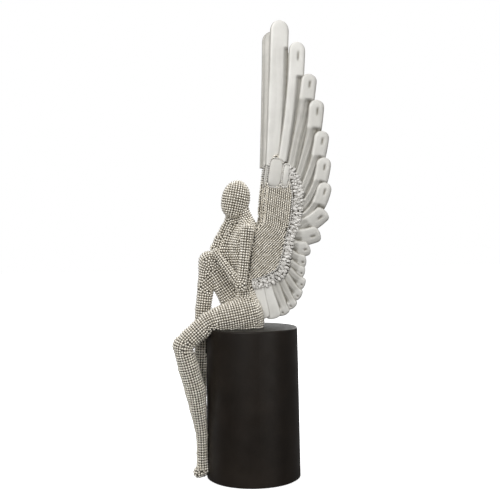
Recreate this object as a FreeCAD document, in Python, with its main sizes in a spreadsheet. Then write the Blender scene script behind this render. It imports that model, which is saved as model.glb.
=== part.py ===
import FreeCAD, Part
import math
import os
import Sketcher

from FreeCAD import Matrix, Placement, Rotation, Vector

# Winged figure trophy: a seated, faceless, slender figure with two tall feathered wings, cast in
# resin, pinned together and bolted to a hollow black cylinder.
# Frame: millimetres, +Z up, origin at the centre of the face that the trophy stands on. The figure
# faces -Y and its left side is +X.

# ---------------------------------------------------------------- driving dimensions

SIZES = {
    # base
    "base_height": 176.8,
    "base_bottom_radius": 55.3,
    "base_top_radius": 53.8,
    "base_wall": 10.0,
    "base_top_thickness": 12.0,
    "base_rim_round": 2.0,
    "felt_thickness": 1.5,
    "felt_margin": 2.5,
    "plate_thickness": 4.0,
    "plate_ledge": 3.5,
    "plate_clearance": 0.3,
    "screw_count": 4,
    "screw_shank_radius": 1.4,
    "screw_head_radius": 2.6,
    "screw_head_depth": 1.6,
    "screw_length": 12.0,
    "ballast_radius": 40.0,
    "ballast_height": 24.0,
    "rod_radius": 3.0,
    "rod_clearance": 0.3,
    "rod_reach_down": 26.0,
    "rod_reach_up": 36.0,
    "washer_radius": 9.0,
    "washer_thickness": 1.5,
    "nut_across_corners": 11.5,
    "nut_height": 5.5,
    # figure
    "web_radius": 8.6,
    "web_ball_radius": 9.2,
    "neck_dowel_radius": 2.0,
    "limb_dowel_radius": 2.5,
    "wing_pin_radius": 1.5,
    "head_half_height": 22.0,
    "head_half_width": 14.5,
    "head_half_depth": 16.8,
    "jaw_radius": 11.5,
    "upper_arm_radius": 5.9,
    "forearm_radius": 5.6,
    "shoulder_radius": 8.4,
    "hip_radius": 17.6,
    "elbow_radius": 5.9,
    "hand_half_length": 8.0,
    "hand_half_width": 5.2,
    "hand_half_thickness": 3.6,
    "thigh_radius": 17.0,
    "lower_thigh_radius": 11.5,
    "thigh_ball_radius": 12.0,
    "knee_radius": 12.2,
    "lower_knee_radius": 11.1,
    "calf_radius": 12.2,
    "calf_ball_radius": 12.5,
    "raised_shin_radius": 9.4,
    "ankle_radius": 6.7,
    "ankle_ball_radius": 7.1,
    "foot_radius": 6.4,
    # wings
    "wing_arm_thickness": 8.0,
    "feather_half_thickness": 1.3,
    "feather_camber": 0.7,
    "covert_panel_rise": 2.2,
    "crystal_radius": 2.2,
    "crystal_height": 3.0,
}

# Joint centres of the figure and the ends of its pins.
PLACES = {
    "figure_seat": (0.0, -4.0, 176.8),
    "head_centre": (0.0, -17.0, 329.0),
    "jaw_centre": (0.0, -21.5, 319.5),
    "left_shoulder": (21.5, -7.0, 291.0),
    "left_elbow": (22.0, -15.0, 226.0),
    "left_wrist": (4.0, -39.0, 261.0),
    "left_hand": (0.5, -42.5, 266.5),
    "right_shoulder": (-21.5, -7.0, 291.0),
    "right_elbow": (-13.0, -41.2, 270.0),
    "right_wrist": (-9.0, -24.8, 305.0),
    "right_hand": (-8.5, -23.8, 310.5),
    "left_hip": (13.0, -8.0, 194.5),
    "left_thigh": (13.5, -52.0, 185.8),
    "left_knee": (14.0, -83.7, 159.2),
    "left_calf": (9.6, -68.5, 105.0),
    "left_ankle": (5.0, -62.0, 52.0),
    "left_heel": (4.0, -62.0, 11.5),
    "left_toe": (10.0, -67.0, 10.5),
    "right_hip": (-13.0, -10.0, 194.5),
    "right_knee": (-14.0, -48.5, 255.0),
    "right_shin_top": (-14.0, -56.5, 198.0),
    "right_ankle": (-14.0, -60.5, 120.0),
    "right_toe": (-14.0, -61.0, 93.0),
    "web_top": (-8.0, -18.5, 301.5),
    "web_middle": (-9.0, -28.5, 267.0),
    "web_bottom": (-8.0, -18.0, 245.0),
    "neck_dowel_start": (0.0, -7.0, 300.0),
    "neck_dowel_end": (0.0, -11.0, 323.0),
    "left_shoulder_dowel_start": (9.0, -7.0, 291.0),
    "left_shoulder_dowel_end": (24.0, -7.0, 291.0),
    "left_hip_dowel_start": (6.0, -7.0, 195.0),
    "left_hip_dowel_end": (14.0, -29.0, 184.0),
    "right_hip_dowel_start": (-6.0, -4.0, 195.0),
    "right_hip_dowel_end": (-13.5, -25.0, 216.0),
    "upper_wing_pin_start": (11.5, -4.0, 285.0),
    "upper_wing_pin_end": (16.0, 24.0, 285.0),
    "lower_wing_pin_start": (8.5, -6.0, 253.0),
    "lower_wing_pin_end": (12.0, 14.0, 253.0),
    "wing_origin": (14.0, 0.0, 292.0),
}

# Torso from the seat to the neck: name, centre along Y, height, half width, half depth.
TORSO_SECTIONS = [
    ("seat", -3.0, 172.0, 20.0, 15.0),
    ("buttock", -2.0, 185.0, 22.5, 16.5),
    ("hip", -4.5, 201.0, 21.0, 15.0),
    ("belly", -7.0, 221.0, 17.0, 12.0),
    ("waist", -7.5, 239.0, 14.5, 10.5),
    ("ribs", -9.5, 255.0, 17.0, 13.5),
    ("chest", -10.0, 272.0, 20.0, 16.5),
    ("upper_chest", -7.0, 285.0, 21.0, 15.5),
    ("collar", -4.0, 297.0, 18.0, 12.0),
    ("neck_base", -6.0, 306.0, 10.5, 9.0),
    ("neck_top", -9.5, 317.0, 8.2, 7.8),
]

# Muscle profiles: share of the way from one joint to the next, share of the limb's radius.
THIGH = [(0.0, 1.0), (0.3, 0.94), (0.6, 0.82), (0.85, 0.72), (1.0, 0.69)]
LOWERED_THIGH = [(0.0, 1.0), (0.25, 1.04), (0.5, 0.98), (0.75, 0.83), (1.0, 0.68)]
THIGH_TO_KNEE = [(0.0, 1.0), (0.35, 1.03), (0.7, 1.02), (1.0, 0.94)]
CALF = [(0.0, 0.88), (0.5, 1.0), (1.0, 1.0)]
CALF_TO_ANKLE = [(0.0, 1.0), (0.4, 0.81), (0.77, 0.63), (1.0, 0.55)]
SHIN = [(0.0, 1.06), (0.3, 1.0), (0.7, 0.98), (1.0, 1.0)]
LOWER_SHIN = [(0.0, 1.0), (0.3, 1.02), (0.7, 0.9), (1.0, 0.8)]
ANKLE = [(0.0, 1.0), (0.5, 0.95), (1.0, 1.0)]
FOOT = [(0.0, 1.0), (0.6, 0.95), (1.0, 0.8)]
WEB = [(0.0, 1.0), (1.0, 1.0)]
UPPER_ARM = [(0.0, 1.1), (0.35, 1.03), (0.7, 0.92), (1.0, 0.9)]
FOREARM = [(0.0, 1.0), (0.3, 1.06), (0.7, 0.88), (1.0, 0.74)]

# Angles, from the equator, of the sections that an egg is lofted through.
EGG_ANGLES = [-84, -62, -32, 0, 32, 62, 84]
HEAD_TIP = -12   # degrees that the head is tipped forward

# Limbs: stretches of (from joint, to joint, radius cell, profile), and balls of (joint, radius cell).
LIMBS = {
    "left_leg": {
        "stretches": [
            ("left_hip", "left_thigh", "thigh_radius", LOWERED_THIGH),
            ("left_thigh", "left_knee", "lower_thigh_radius", THIGH_TO_KNEE),
            ("left_knee", "left_calf", "calf_radius", CALF),
            ("left_calf", "left_ankle", "calf_radius", CALF_TO_ANKLE),
            ("left_ankle", "left_heel", "ankle_radius", ANKLE),
            ("left_heel", "left_toe", "foot_radius", FOOT),
        ],
        "balls": [("left_hip", "hip_radius"), ("left_thigh", "thigh_ball_radius"),
                  ("left_knee", "lower_knee_radius"), ("left_calf", "calf_ball_radius"),
                  ("left_ankle", "ankle_ball_radius"), ("left_heel", "ankle_ball_radius"),
                  ("left_toe", "foot_radius")],
    },
    "right_leg": {
        "stretches": [
            ("right_hip", "right_knee", "thigh_radius", THIGH),
            ("right_knee", "right_shin_top", "raised_shin_radius", SHIN),
            ("right_shin_top", "right_ankle", "raised_shin_radius", LOWER_SHIN),
            ("right_ankle", "right_toe", "foot_radius", FOOT),
        ],
        "balls": [("right_hip", "hip_radius"), ("right_knee", "knee_radius"),
                  ("right_shin_top", "raised_shin_radius"), ("right_ankle", "ankle_radius"),
                  ("right_toe", "foot_radius")],
    },
    "left_arm": {
        "stretches": [
            ("left_shoulder", "left_elbow", "upper_arm_radius", UPPER_ARM),
            ("left_elbow", "left_wrist", "forearm_radius", FOREARM),
        ],
        "balls": [("left_shoulder", "shoulder_radius"), ("left_elbow", "elbow_radius")],
    },
    "right_arm": {
        "stretches": [
            ("right_shoulder", "right_elbow", "upper_arm_radius", UPPER_ARM),
            ("right_elbow", "right_wrist", "forearm_radius", FOREARM),
        ],
        "balls": [("right_shoulder", "shoulder_radius"), ("right_elbow", "elbow_radius")],
    },
}

# The wing's own flat frame: p runs back along the wing, q runs up it, n points out of its outer
# face. p and q are counted from wing_origin, so they are close to Y and to Z less its height.
WING_FLARE = 0.13   # sideways travel per millimetre of p
WING_TILT = 0.05    # sideways travel per millimetre of q

# Feathers, from the tall leading one round to the lowest: root, bend (control point of the curved
# centre line) and tip as (p, q), then the half width near the tip.
FEATHERS = {
    "primary_1": ((27, 74), (32, 158), (35, 242), 11.0),
    "primary_2": ((39, 76), (53, 145), (55, 217), 9.4),
    "primary_3": ((48, 66), (63, 126), (69, 180), 9.0),
    "primary_4": ((54, 50), (75, 102), (77, 150), 8.4),
    "primary_5": ((56, 33), (79, 70), (83, 114), 7.8),
    "primary_6": ((56, 19), (82, 41), (85, 83), 7.8),
    "primary_7": ((54, 8), (80, 17), (86, 54), 7.6),
    "secondary_1": ((50, 0), (67, 2), (86, 21), 8.0),
    "secondary_2": ((46, -9), (62, -12), (79, -4), 8.2),
    "secondary_3": ((44, -20), (56, -26), (67, -21), 7.8),
    "secondary_4": ((42, -31), (51, -38), (63, -38), 7.2),
    "secondary_5": ((41, -41), (50, -49), (61, -52), 6.8),
    "lower_1": ((39, -49), (48, -61), (61, -66), 6.8),
    "lower_2": ((35, -55), (45, -73), (56, -80), 7.0),
    "lower_3": ((29, -59), (38, -80), (47, -93), 7.2),
    "lower_4": ((22, -62), (30, -85), (37, -101), 7.6),
    "lower_5": ((14, -64), (20, -88), (25, -105), 7.6),
    "lower_6": ((6, -66), (9, -89), (12, -105), 7.2),
}
FEATHER_STATIONS = [(0.0, 0.55), (0.25, 0.8), (0.5, 0.94), (0.78, 1.0), (0.91, 0.86), (0.98, 0.5),
                    (1.0, 0.22)]
SHINGLE_TILT = 18.0   # degrees that each feather is turned about its own centre line

# Outline of the beaded plate that carries the feathers, as (p, q), from the notch behind the neck up
# the leading edge, over the top, down the feathers' roots and back along the underside.
WING_ARM_OUTLINE = [
    (11, 9), (13, 28), (16, 50), (20, 70), (24, 85), (31, 88), (40, 81), (51, 60), (56, 34),
    (55, 10), (48, -8), (45, -28), (42, -48), (34, -58), (20, -65), (3, -68), (-5, -58), (-7, -30),
    (-2, -8),
]
COVERT_PANELS = {
    # centre p, centre q, half width, half length, lean in degrees
    "front": (27.0, 66.0, 6.6, 16.5, -9.0),
    "rear": (39.5, 62.0, 4.5, 11.5, -9.0),
}
# Line that the crystals follow, from the top of the rear panel down and round to the body.
CRYSTAL_LINE = [
    (43, 71), (50, 50), (51, 30), (48, 10), (42, -8), (38, -26), (31, -46), (18, -55), (4, -60),
    (-2, -62),
]
CRYSTALS_PER_ROW = 26
CRYSTAL_ROWS = {"inner": -0.5, "outer": 0.5}   # offset of each row, as a share of their spacing
CRYSTAL_ROW_SPACING = 4.4

AXIS = ("0", 0.0)   # a corner of a half section that lies on the axis of revolution

document = FreeCAD.newDocument("figure_trophy")


# ---------------------------------------------------------------- spreadsheet

def fill_sheet():
    sheet = document.addObject("Spreadsheet::Sheet", "Dimensions")
    cells = dict(SIZES)
    for name, place in PLACES.items():
        for axis, value in zip("xyz", place):
            cells[name + "_" + axis] = value
    for name, centre_y, height, half_width, half_depth in TORSO_SECTIONS:
        cells["torso_" + name + "_y"] = centre_y
        cells["torso_" + name + "_z"] = height
        cells["torso_" + name + "_half_width"] = half_width
        cells["torso_" + name + "_half_depth"] = half_depth
    for name, (root, bend, tip, half_width) in FEATHERS.items():
        cells[name + "_half_width"] = half_width
    for name, (p, q, half_width, half_length, lean) in COVERT_PANELS.items():
        cells[name + "_panel_half_width"] = half_width
        cells[name + "_panel_half_length"] = half_length
    for row, (name, value) in enumerate(cells.items(), start=1):
        sheet.set("A%d" % row, name)
        sheet.set("B%d" % row, str(value))
        sheet.setAlias("B%d" % row, name)
    document.recompute()
    return sheet


def cell(name):
    return "Dimensions." + name


def place(name):
    return Vector(*PLACES[name])


def along(start, end, share, axis):
    """Expression for one coordinate a share of the way from one named place to another."""
    first = cell(start + "_" + axis)
    last = cell(end + "_" + axis)
    return "%s + (%s - %s) * %s" % (first, last, first, share)


# ---------------------------------------------------------------- shared builders

def add(kind, name, **expressions):
    item = document.addObject(kind, name)
    for prop, expression in expressions.items():
        item.setExpression(prop, expression)
    return item


def move_to(item, x, y, z):
    """Bind an object's position to three expressions."""
    for axis, expression in zip("xyz", (x, y, z)):
        item.setExpression("Placement.Base." + axis, expression)


def turn_onto(direction):
    """Rotation that takes the local Z axis onto a direction, with no twist about it."""
    return Rotation(Vector(0, 0, 1), direction)


def seam_outward(joint):
    """Turn about Z that puts a round form's seam on the side away from the torso."""
    return Rotation(Vector(0, 0, 1), 180 if PLACES[joint][0] < 0 else 0)


def loft(name, sections):
    item = document.addObject("Part::Loft", name)
    item.Sections = sections
    item.Solid = True
    item.Ruled = False
    return item


def cylinder_at(name, radius, height, x="0", y="0", z="0"):
    item = add("Part::Cylinder", name, Radius=radius, Height=height)
    move_to(item, x, y, z)
    return item


def rod_between(name, start, end, radius):
    """Round rod between two named places."""
    direction = place(end) - place(start)
    item = add("Part::Cylinder", name, Radius=cell(radius))
    item.Height = direction.Length
    item.Placement = Placement(Vector(), turn_onto(direction))
    move_to(item, *[cell(start + "_" + axis) for axis in "xyz"])
    return item


def fuse(name, pieces):
    item = document.addObject("Part::MultiFuse", name)
    item.Shapes = pieces
    return item


def cut_away(name, piece, tools):
    """Cut each tool in turn out of a piece, so that two sub-parts meet face to face."""
    for number, tool in enumerate(tools, start=1):
        cut = document.addObject("Part::Cut", "%s_cut_%d" % (name, number))
        cut.Base = piece
        cut.Tool = tool
        piece = cut
    return piece


def group(name, pieces):
    item = document.addObject("Part::Compound", name)
    item.Links = pieces
    return item


def mirror_across_middle(name, source):
    item = document.addObject("Part::Mirroring", name)
    item.Source = source
    item.Base = Vector(0, 0, 0)
    item.Normal = Vector(1, 0, 0)
    return item


def origin_plane(body, role):
    return [feature for feature in body.Origin.OriginFeatures if feature.Role == role][0]


def sketch_on(body, name, role):
    sketch = body.newObject("Sketcher::SketchObject", name)
    sketch.AttachmentSupport = [(origin_plane(body, role), "")]
    sketch.MapMode = "FlatFace"
    return sketch


def sum_of(*terms):
    """Expression and present value of a sum of sizes; a leading minus takes a size away."""
    expression = ""
    value = 0.0
    for term in terms:
        name = term.lstrip("-")
        minus = term.startswith("-")
        expression += (" - " if minus else " + ") + cell(name)
        value += -SIZES[name] if minus else SIZES[name]
    return expression.strip(" +"), value


def closed_outline(sketch, corners):
    """Closed run of straight lines whose corners are pairs of (expression, value), or AXIS."""
    count = len(corners)
    for index in range(count):
        ends = [corners[index], corners[(index + 1) % count]]
        start, end = [Vector(across[1], up[1], 0) for across, up in ends]
        sketch.addGeometry(Part.LineSegment(start, end), False)
    for index in range(count):
        sketch.addConstraint(Sketcher.Constraint("Coincident", index, 2, (index + 1) % count, 1))
    for index, corner in enumerate(corners):
        for kind, axis, (expression, value) in zip(("DistanceX", "DistanceY"), (-2, -1), corner):
            if expression == "0":
                sketch.addConstraint(Sketcher.Constraint("PointOnObject", index, 1, axis))
                continue
            number = sketch.addConstraint(Sketcher.Constraint(kind, -1, 1, index, 1, value))
            sketch.setExpression("Constraints[%d]" % number, expression)


def turned_body(name, corners):
    """Body of revolution about Z whose half section is a list of (radius, height) corners."""
    body = document.addObject("PartDesign::Body", name)
    sketch = sketch_on(body, name + "_section", "XZ_Plane")
    closed_outline(sketch, corners)
    turn = body.newObject("PartDesign::Revolution", name + "_turn")
    turn.Profile = sketch
    turn.ReferenceAxis = (sketch, ["V_Axis"])
    turn.Angle = 360
    document.recompute()
    return body


# ---------------------------------------------------------------- base

def base_cylinder():
    """Tapered cup, mouth down, with a ledge for the bottom plate and a hole for the tie rod."""
    foot = sum_of("felt_thickness")
    top = sum_of("base_height")
    roof = sum_of("base_height", "-base_top_thickness")
    inner = sum_of("base_bottom_radius", "-base_wall")
    ledge = sum_of("base_bottom_radius", "-base_wall", "plate_ledge", "plate_clearance")
    ledge_height = sum_of("felt_thickness", "plate_thickness")
    hole = sum_of("rod_radius", "rod_clearance")[0]
    body = turned_body("base_cylinder", [
        (ledge, foot),
        (sum_of("base_bottom_radius"), foot),
        (sum_of("base_top_radius"), top),
        (AXIS, top),
        (AXIS, roof),
        (inner, roof),
        (inner, ledge_height),
        (ledge, ledge_height),
    ])
    bore = sketch_on(body, "tie_rod_hole_circle", "XY_Plane")
    centre = place("figure_seat")
    bore.addGeometry(Part.Circle(Vector(centre.x, centre.y, 0), Vector(0, 0, 1), 1.0), False)
    number = bore.addConstraint(Sketcher.Constraint("Radius", 0, 1.0))
    bore.setExpression("Constraints[%d]" % number, hole)
    pocket = body.newObject("PartDesign::Pocket", "tie_rod_hole")
    pocket.Profile = bore
    pocket.Type = "ThroughAll"
    pocket.Reversed = True
    document.recompute()
    rim = top_rim_edge(body)
    fillet = body.newObject("PartDesign::Fillet", "top_rim_round")
    fillet.Base = (pocket, [rim])
    fillet.setExpression("Radius", cell("base_rim_round"))
    document.recompute()
    return body


def top_rim_edge(body):
    """Name of the circular edge round the top of the cylinder."""
    for number, edge in enumerate(body.Shape.Edges, start=1):
        box = edge.BoundBox
        at_top = box.ZMin > SIZES["base_height"] - 0.01
        if at_top and box.XLength > SIZES["base_top_radius"]:
            return "Edge%d" % number
    raise ValueError("the top rim was not found")


def base_bottom_plate():
    """Disc on the ledge, with four counterbored holes for its screws."""
    foot = cell("felt_thickness")
    radius = "%s - %s + %s" % (cell("base_bottom_radius"), cell("base_wall"), cell("plate_ledge"))
    disc = cylinder_at("bottom_plate_disc", radius, cell("plate_thickness"), z=foot)
    return cut_away("base_bottom_plate", disc, [screw_shapes("plate_hole", SIZES["rod_clearance"])])


def screw_circle_radius():
    return SIZES["base_bottom_radius"] - SIZES["base_wall"] + SIZES["plate_ledge"] / 2


def screw_shapes(name, extra=0.0):
    """The four bottom screws; a clearance is added to make the holes that they pass through."""
    foot = cell("felt_thickness")
    screws = []
    count = int(SIZES["screw_count"])
    for number in range(count):
        turn = Rotation(Vector(0, 0, 1), 360.0 / count * (number + 0.5))
        spot = turn.multVec(Vector(screw_circle_radius() - SIZES["screw_head_radius"] / 2, 0, 0))
        head = cylinder_at("%s_head_%d" % (name, number + 1),
                           "%s + %s" % (cell("screw_head_radius"), extra),
                           cell("screw_head_depth"), str(spot.x), str(spot.y), foot)
        shank = cylinder_at("%s_shank_%d" % (name, number + 1),
                            "%s + %s" % (cell("screw_shank_radius"), extra),
                            cell("screw_length"), str(spot.x), str(spot.y), foot)
        screws.append(fuse("%s_%d" % (name, number + 1), [head, shank]))
    return group(name, screws)


def base_felt_pad():
    radius = "%s - %s" % (cell("base_bottom_radius"), cell("felt_margin"))
    return cylinder_at("base_felt_pad", radius, cell("felt_thickness"))


def ballast_disc():
    floor = "%s + %s" % (cell("felt_thickness"), cell("plate_thickness"))
    return cylinder_at("ballast_disc", cell("ballast_radius"), cell("ballast_height"), z=floor)


def figure_tie_rod():
    start = "%s - %s" % (cell("base_height"), cell("rod_reach_down"))
    length = "%s + %s" % (cell("rod_reach_down"), cell("rod_reach_up"))
    return cylinder_at("figure_tie_rod", cell("rod_radius"), length, cell("figure_seat_x"),
                       cell("figure_seat_y"), start)


def under_top(depth):
    return "%s - %s - %s" % (cell("base_height"), cell("base_top_thickness"), depth)


def tie_rod_washer(rod):
    disc = cylinder_at("washer_disc", cell("washer_radius"), cell("washer_thickness"),
                       cell("figure_seat_x"), cell("figure_seat_y"),
                       under_top(cell("washer_thickness")))
    return cut_away("tie_rod_washer", disc, [rod])


def tie_rod_nut(rod):
    hexagon = add("Part::Prism", "nut_hexagon", Circumradius=cell("nut_across_corners") + " / 2",
                  Height=cell("nut_height"))
    hexagon.Polygon = 6
    move_to(hexagon, cell("figure_seat_x"), cell("figure_seat_y"),
            under_top("%s - %s" % (cell("washer_thickness"), cell("nut_height"))))
    return cut_away("tie_rod_nut", hexagon, [rod])


def base_outer_form():
    """Solid of the base's outer shape, used to fit the figure to it."""
    cone = add("Part::Cone", "base_outer_form", Radius1=cell("base_bottom_radius"),
               Radius2=cell("base_top_radius"),
               Height="%s - %s" % (cell("base_height"), cell("felt_thickness")))
    move_to(cone, "0", "0", cell("felt_thickness"))
    return cone


# ---------------------------------------------------------------- figure

def torso_form():
    """Torso, pelvis and neck: an upright loft through ellipses that follow the slouched spine, with
    the web of material that closes the gap between the chest and the right arm."""
    sections = []
    for section in TORSO_SECTIONS:
        prefix = "torso_" + section[0]
        ring = add("Part::Ellipse", prefix, MajorRadius=cell(prefix + "_half_width"),
                   MinorRadius=cell(prefix + "_half_depth"))
        move_to(ring, "0", cell(prefix + "_y"), cell(prefix + "_z"))
        sections.append(ring)
    pieces = [loft("trunk", sections)]
    for start, end in (("web_top", "web_middle"), ("web_middle", "web_bottom")):
        pieces.append(limb_stretch(start + "_stretch", start, end, "web_radius", WEB))
    for joint in ("web_top", "web_middle", "web_bottom"):
        pieces.append(joint_ball(joint + "_ball", joint, "web_ball_radius"))
    return fuse("torso_form", pieces)


def egg_form(name, spot, rotation, half_length, major, minor):
    """Egg as a loft through ellipses along its own Z axis; spot is three expressions."""
    sections = []
    for number, angle in enumerate(EGG_ANGLES, start=1):
        factor = math.cos(math.radians(angle))
        rise = math.sin(math.radians(angle))
        ring = add("Part::Ellipse", "%s_ring_%d" % (name, number),
                   MajorRadius="%s * %s" % (major, factor),
                   MinorRadius="%s * %s" % (minor, factor))
        ring.Placement = Placement(Vector(), rotation)
        axis = rotation.multVec(Vector(0, 0, 1))
        move_to(ring, *["%s + %s * %s" % (start, half_length, rise * part)
                        for start, part in zip(spot, axis)])
        sections.append(ring)
    return loft(name, sections)


def head_form():
    """Egg-shaped head: a skull and a smaller jaw, tipped forward."""
    tip = Rotation(Vector(1, 0, 0), HEAD_TIP).multiply(Rotation(Vector(0, 0, 1), 90))
    skull = egg_form("skull", [cell("head_centre_" + axis) for axis in "xyz"], tip,
                     cell("head_half_height"), cell("head_half_depth"), cell("head_half_width"))
    jaw = add("Part::Sphere", "jaw", Radius=cell("jaw_radius"))
    move_to(jaw, *[cell("jaw_centre_" + axis) for axis in "xyz"])
    return fuse("head_form", [skull, jaw])


def limb_stretch(name, start, end, radius, profile):
    """Round, swelling stretch of limb between two joints."""
    rotation = turn_onto(place(end) - place(start)).multiply(seam_outward(start))
    sections = []
    for number, (share, factor) in enumerate(profile, start=1):
        ring = add("Part::Circle", "%s_ring_%d" % (name, number),
                   Radius="%s * %s" % (cell(radius), factor))
        ring.Placement = Placement(Vector(), rotation)
        move_to(ring, *[along(start, end, share, axis) for axis in "xyz"])
        sections.append(ring)
    return loft(name, sections)


def joint_ball(name, joint, radius):
    ball = add("Part::Sphere", name, Radius=cell(radius))
    ball.Placement = Placement(Vector(), seam_outward(joint))
    move_to(ball, *[cell(joint + "_" + axis) for axis in "xyz"])
    return ball


def hand_form(side):
    """Closed hand: one flattened egg in line with the forearm."""
    name = side + "_hand"
    rotation = turn_onto(place(name) - place(side + "_wrist"))
    return egg_form(name + "_form", [cell(name + "_" + axis) for axis in "xyz"], rotation,
                    cell("hand_half_length"), cell("hand_half_width"), cell("hand_half_thickness"))


def limb_form(name):
    limb = LIMBS[name]
    pieces = []
    for number, (start, end, radius, profile) in enumerate(limb["stretches"], start=1):
        pieces.append(limb_stretch("%s_stretch_%d" % (name, number), start, end, radius, profile))
    for number, (joint, radius) in enumerate(limb["balls"], start=1):
        pieces.append(joint_ball("%s_ball_%d" % (name, number), joint, radius))
    if name.endswith("arm"):
        pieces.append(hand_form(name.split("_")[0]))
    return fuse(name + "_form", pieces)


# ---------------------------------------------------------------- wings

def wing_placement():
    """Placement whose local X, Y and Z are the wing's p, q and n directions."""
    back = Vector(WING_FLARE, 1, 0).normalize()
    outward = Vector(1, -WING_FLARE, -WING_TILT).normalize()
    up = outward.cross(back)
    matrix = Matrix(back.x, up.x, outward.x, 0,
                    back.y, up.y, outward.y, 0,
                    back.z, up.z, outward.z, 0,
                    0, 0, 0, 1)
    return Placement(place("wing_origin"), Rotation(matrix))


def on_curve(root, bend, tip, share):
    """Point and direction at a share of the way along a feather's curved centre line."""
    rest = 1 - share
    point = root * rest * rest + bend * 2 * rest * share + tip * share * share
    direction = (bend - root) * 2 * rest + (tip - bend) * 2 * share
    return point, direction.normalize()


def lens(half_width, half_thickness, camber):
    """Closed lens of two arcs in the XY plane, with its edges on X."""
    front = Vector(-half_width, 0, 0)
    back = Vector(half_width, 0, 0)
    outer = Part.Arc(front, Vector(0, camber + half_thickness, 0), back)
    inner = Part.Arc(back, Vector(0, camber - half_thickness, 0), front)
    return Part.Wire([outer.toShape(), inner.toShape()])


def feather(name, wing, sheet):
    """Cambered blade along a curved centre line, turned a little so that its back edge passes
    under the next feather's front edge."""
    root, bend, tip = [Vector(p, q, 0) for p, q in FEATHERS[name][:3]]
    half_width = sheet.get(name + "_half_width")
    half_thickness = sheet.get("feather_half_thickness")
    camber = sheet.get("feather_camber")
    sections = []
    for share, factor in FEATHER_STATIONS:
        point, direction = on_curve(root, bend, tip, share)
        across = Rotation(direction, SHINGLE_TILT).multVec(direction.cross(Vector(0, 0, 1)))
        section = lens(half_width * factor, half_thickness * factor ** 0.5, camber * factor)
        section.Placement = Placement(point, Rotation(across, Vector(), direction, "ZXY"))
        sections.append(section)
    blade = document.addObject("Part::Feature", name + "_blade")
    blade.Shape = Part.makeLoft(sections, True)
    blade.Placement = wing
    return blade


def wing_arm_plate(wing):
    """Beaded plate at the root of the wing, with a smooth outline."""
    body = document.addObject("PartDesign::Body", "wing_arm_plate")
    outline = sketch_on(body, "wing_arm_outline", "XY_Plane")
    curve = Part.BSplineCurve()
    curve.interpolate([Vector(p, q, 0) for p, q in WING_ARM_OUTLINE], PeriodicFlag=True)
    outline.addGeometry(curve, False)
    pad = body.newObject("PartDesign::Pad", "wing_arm_pad")
    pad.Profile = outline
    pad.setExpression("Length", cell("wing_arm_thickness"))
    pad.Midplane = True
    body.Placement = wing
    document.recompute()
    return body


def covert_panels(wing, plate):
    """Two smooth domed panels on the outer face of the plate."""
    panels = []
    for name, (p, q, half_width, half_length, lean) in COVERT_PANELS.items():
        turn = Rotation(Vector(0, 0, 1), lean).multiply(Rotation(Vector(1, 0, 0), -90))
        spot = Vector(p, q, SIZES["wing_arm_thickness"] / 2 - SIZES["covert_panel_rise"])
        middle = wing.multVec(spot)
        dome = egg_form(name + "_panel", [str(value) for value in middle],
                        wing.Rotation.multiply(turn), cell(name + "_panel_half_length"),
                        cell(name + "_panel_half_width"), cell("covert_panel_rise") + " * 2")
        panels.append(cut_away(name + "_panel_fitted", dome, [plate]))
    return group("covert_panels", panels)


def crystal_trim(wing):
    """Two rows of small six-sided crystals that stand on the plate beside the feathers' roots."""
    line = Part.BSplineCurve()
    line.interpolate([Vector(p, q, 0) for p, q in CRYSTAL_LINE])
    crystals = []
    for row_name, row in CRYSTAL_ROWS.items():
        stagger = 0.5 if row > 0 else 0.0
        for number in range(CRYSTALS_PER_ROW):
            share = (number + stagger) / (CRYSTALS_PER_ROW - 0.5)
            parameter = line.parameterAtDistance(line.length() * share)
            direction = line.tangent(parameter)[0]
            across = direction.cross(Vector(0, 0, 1))
            spot = line.value(parameter) + across * row * CRYSTAL_ROW_SPACING
            spot.z = SIZES["wing_arm_thickness"] / 2
            crystal = add("Part::Prism", "crystal_%s_%d" % (row_name, number + 1),
                          Circumradius=cell("crystal_radius"), Height=cell("crystal_height"))
            crystal.Polygon = 6
            crystal.Placement = wing.multiply(Placement(spot, Rotation()))
            crystals.append(crystal)
    return group("crystal_trim", crystals)


# ---------------------------------------------------------------- assembly

def build_base(parts):
    screws = screw_shapes("bottom_plate_screws")
    rod = figure_tie_rod()
    parts["base_cylinder"] = cut_away("base_cylinder_fitted", base_cylinder(), [screws])
    parts["base_bottom_plate"] = base_bottom_plate()
    parts["base_felt_pad"] = base_felt_pad()
    parts["bottom_plate_screws"] = screws
    parts["ballast_disc"] = ballast_disc()
    parts["figure_tie_rod"] = rod
    parts["tie_rod_washer"] = tie_rod_washer(rod)
    parts["tie_rod_nut"] = tie_rod_nut(rod)
    return rod


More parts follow.
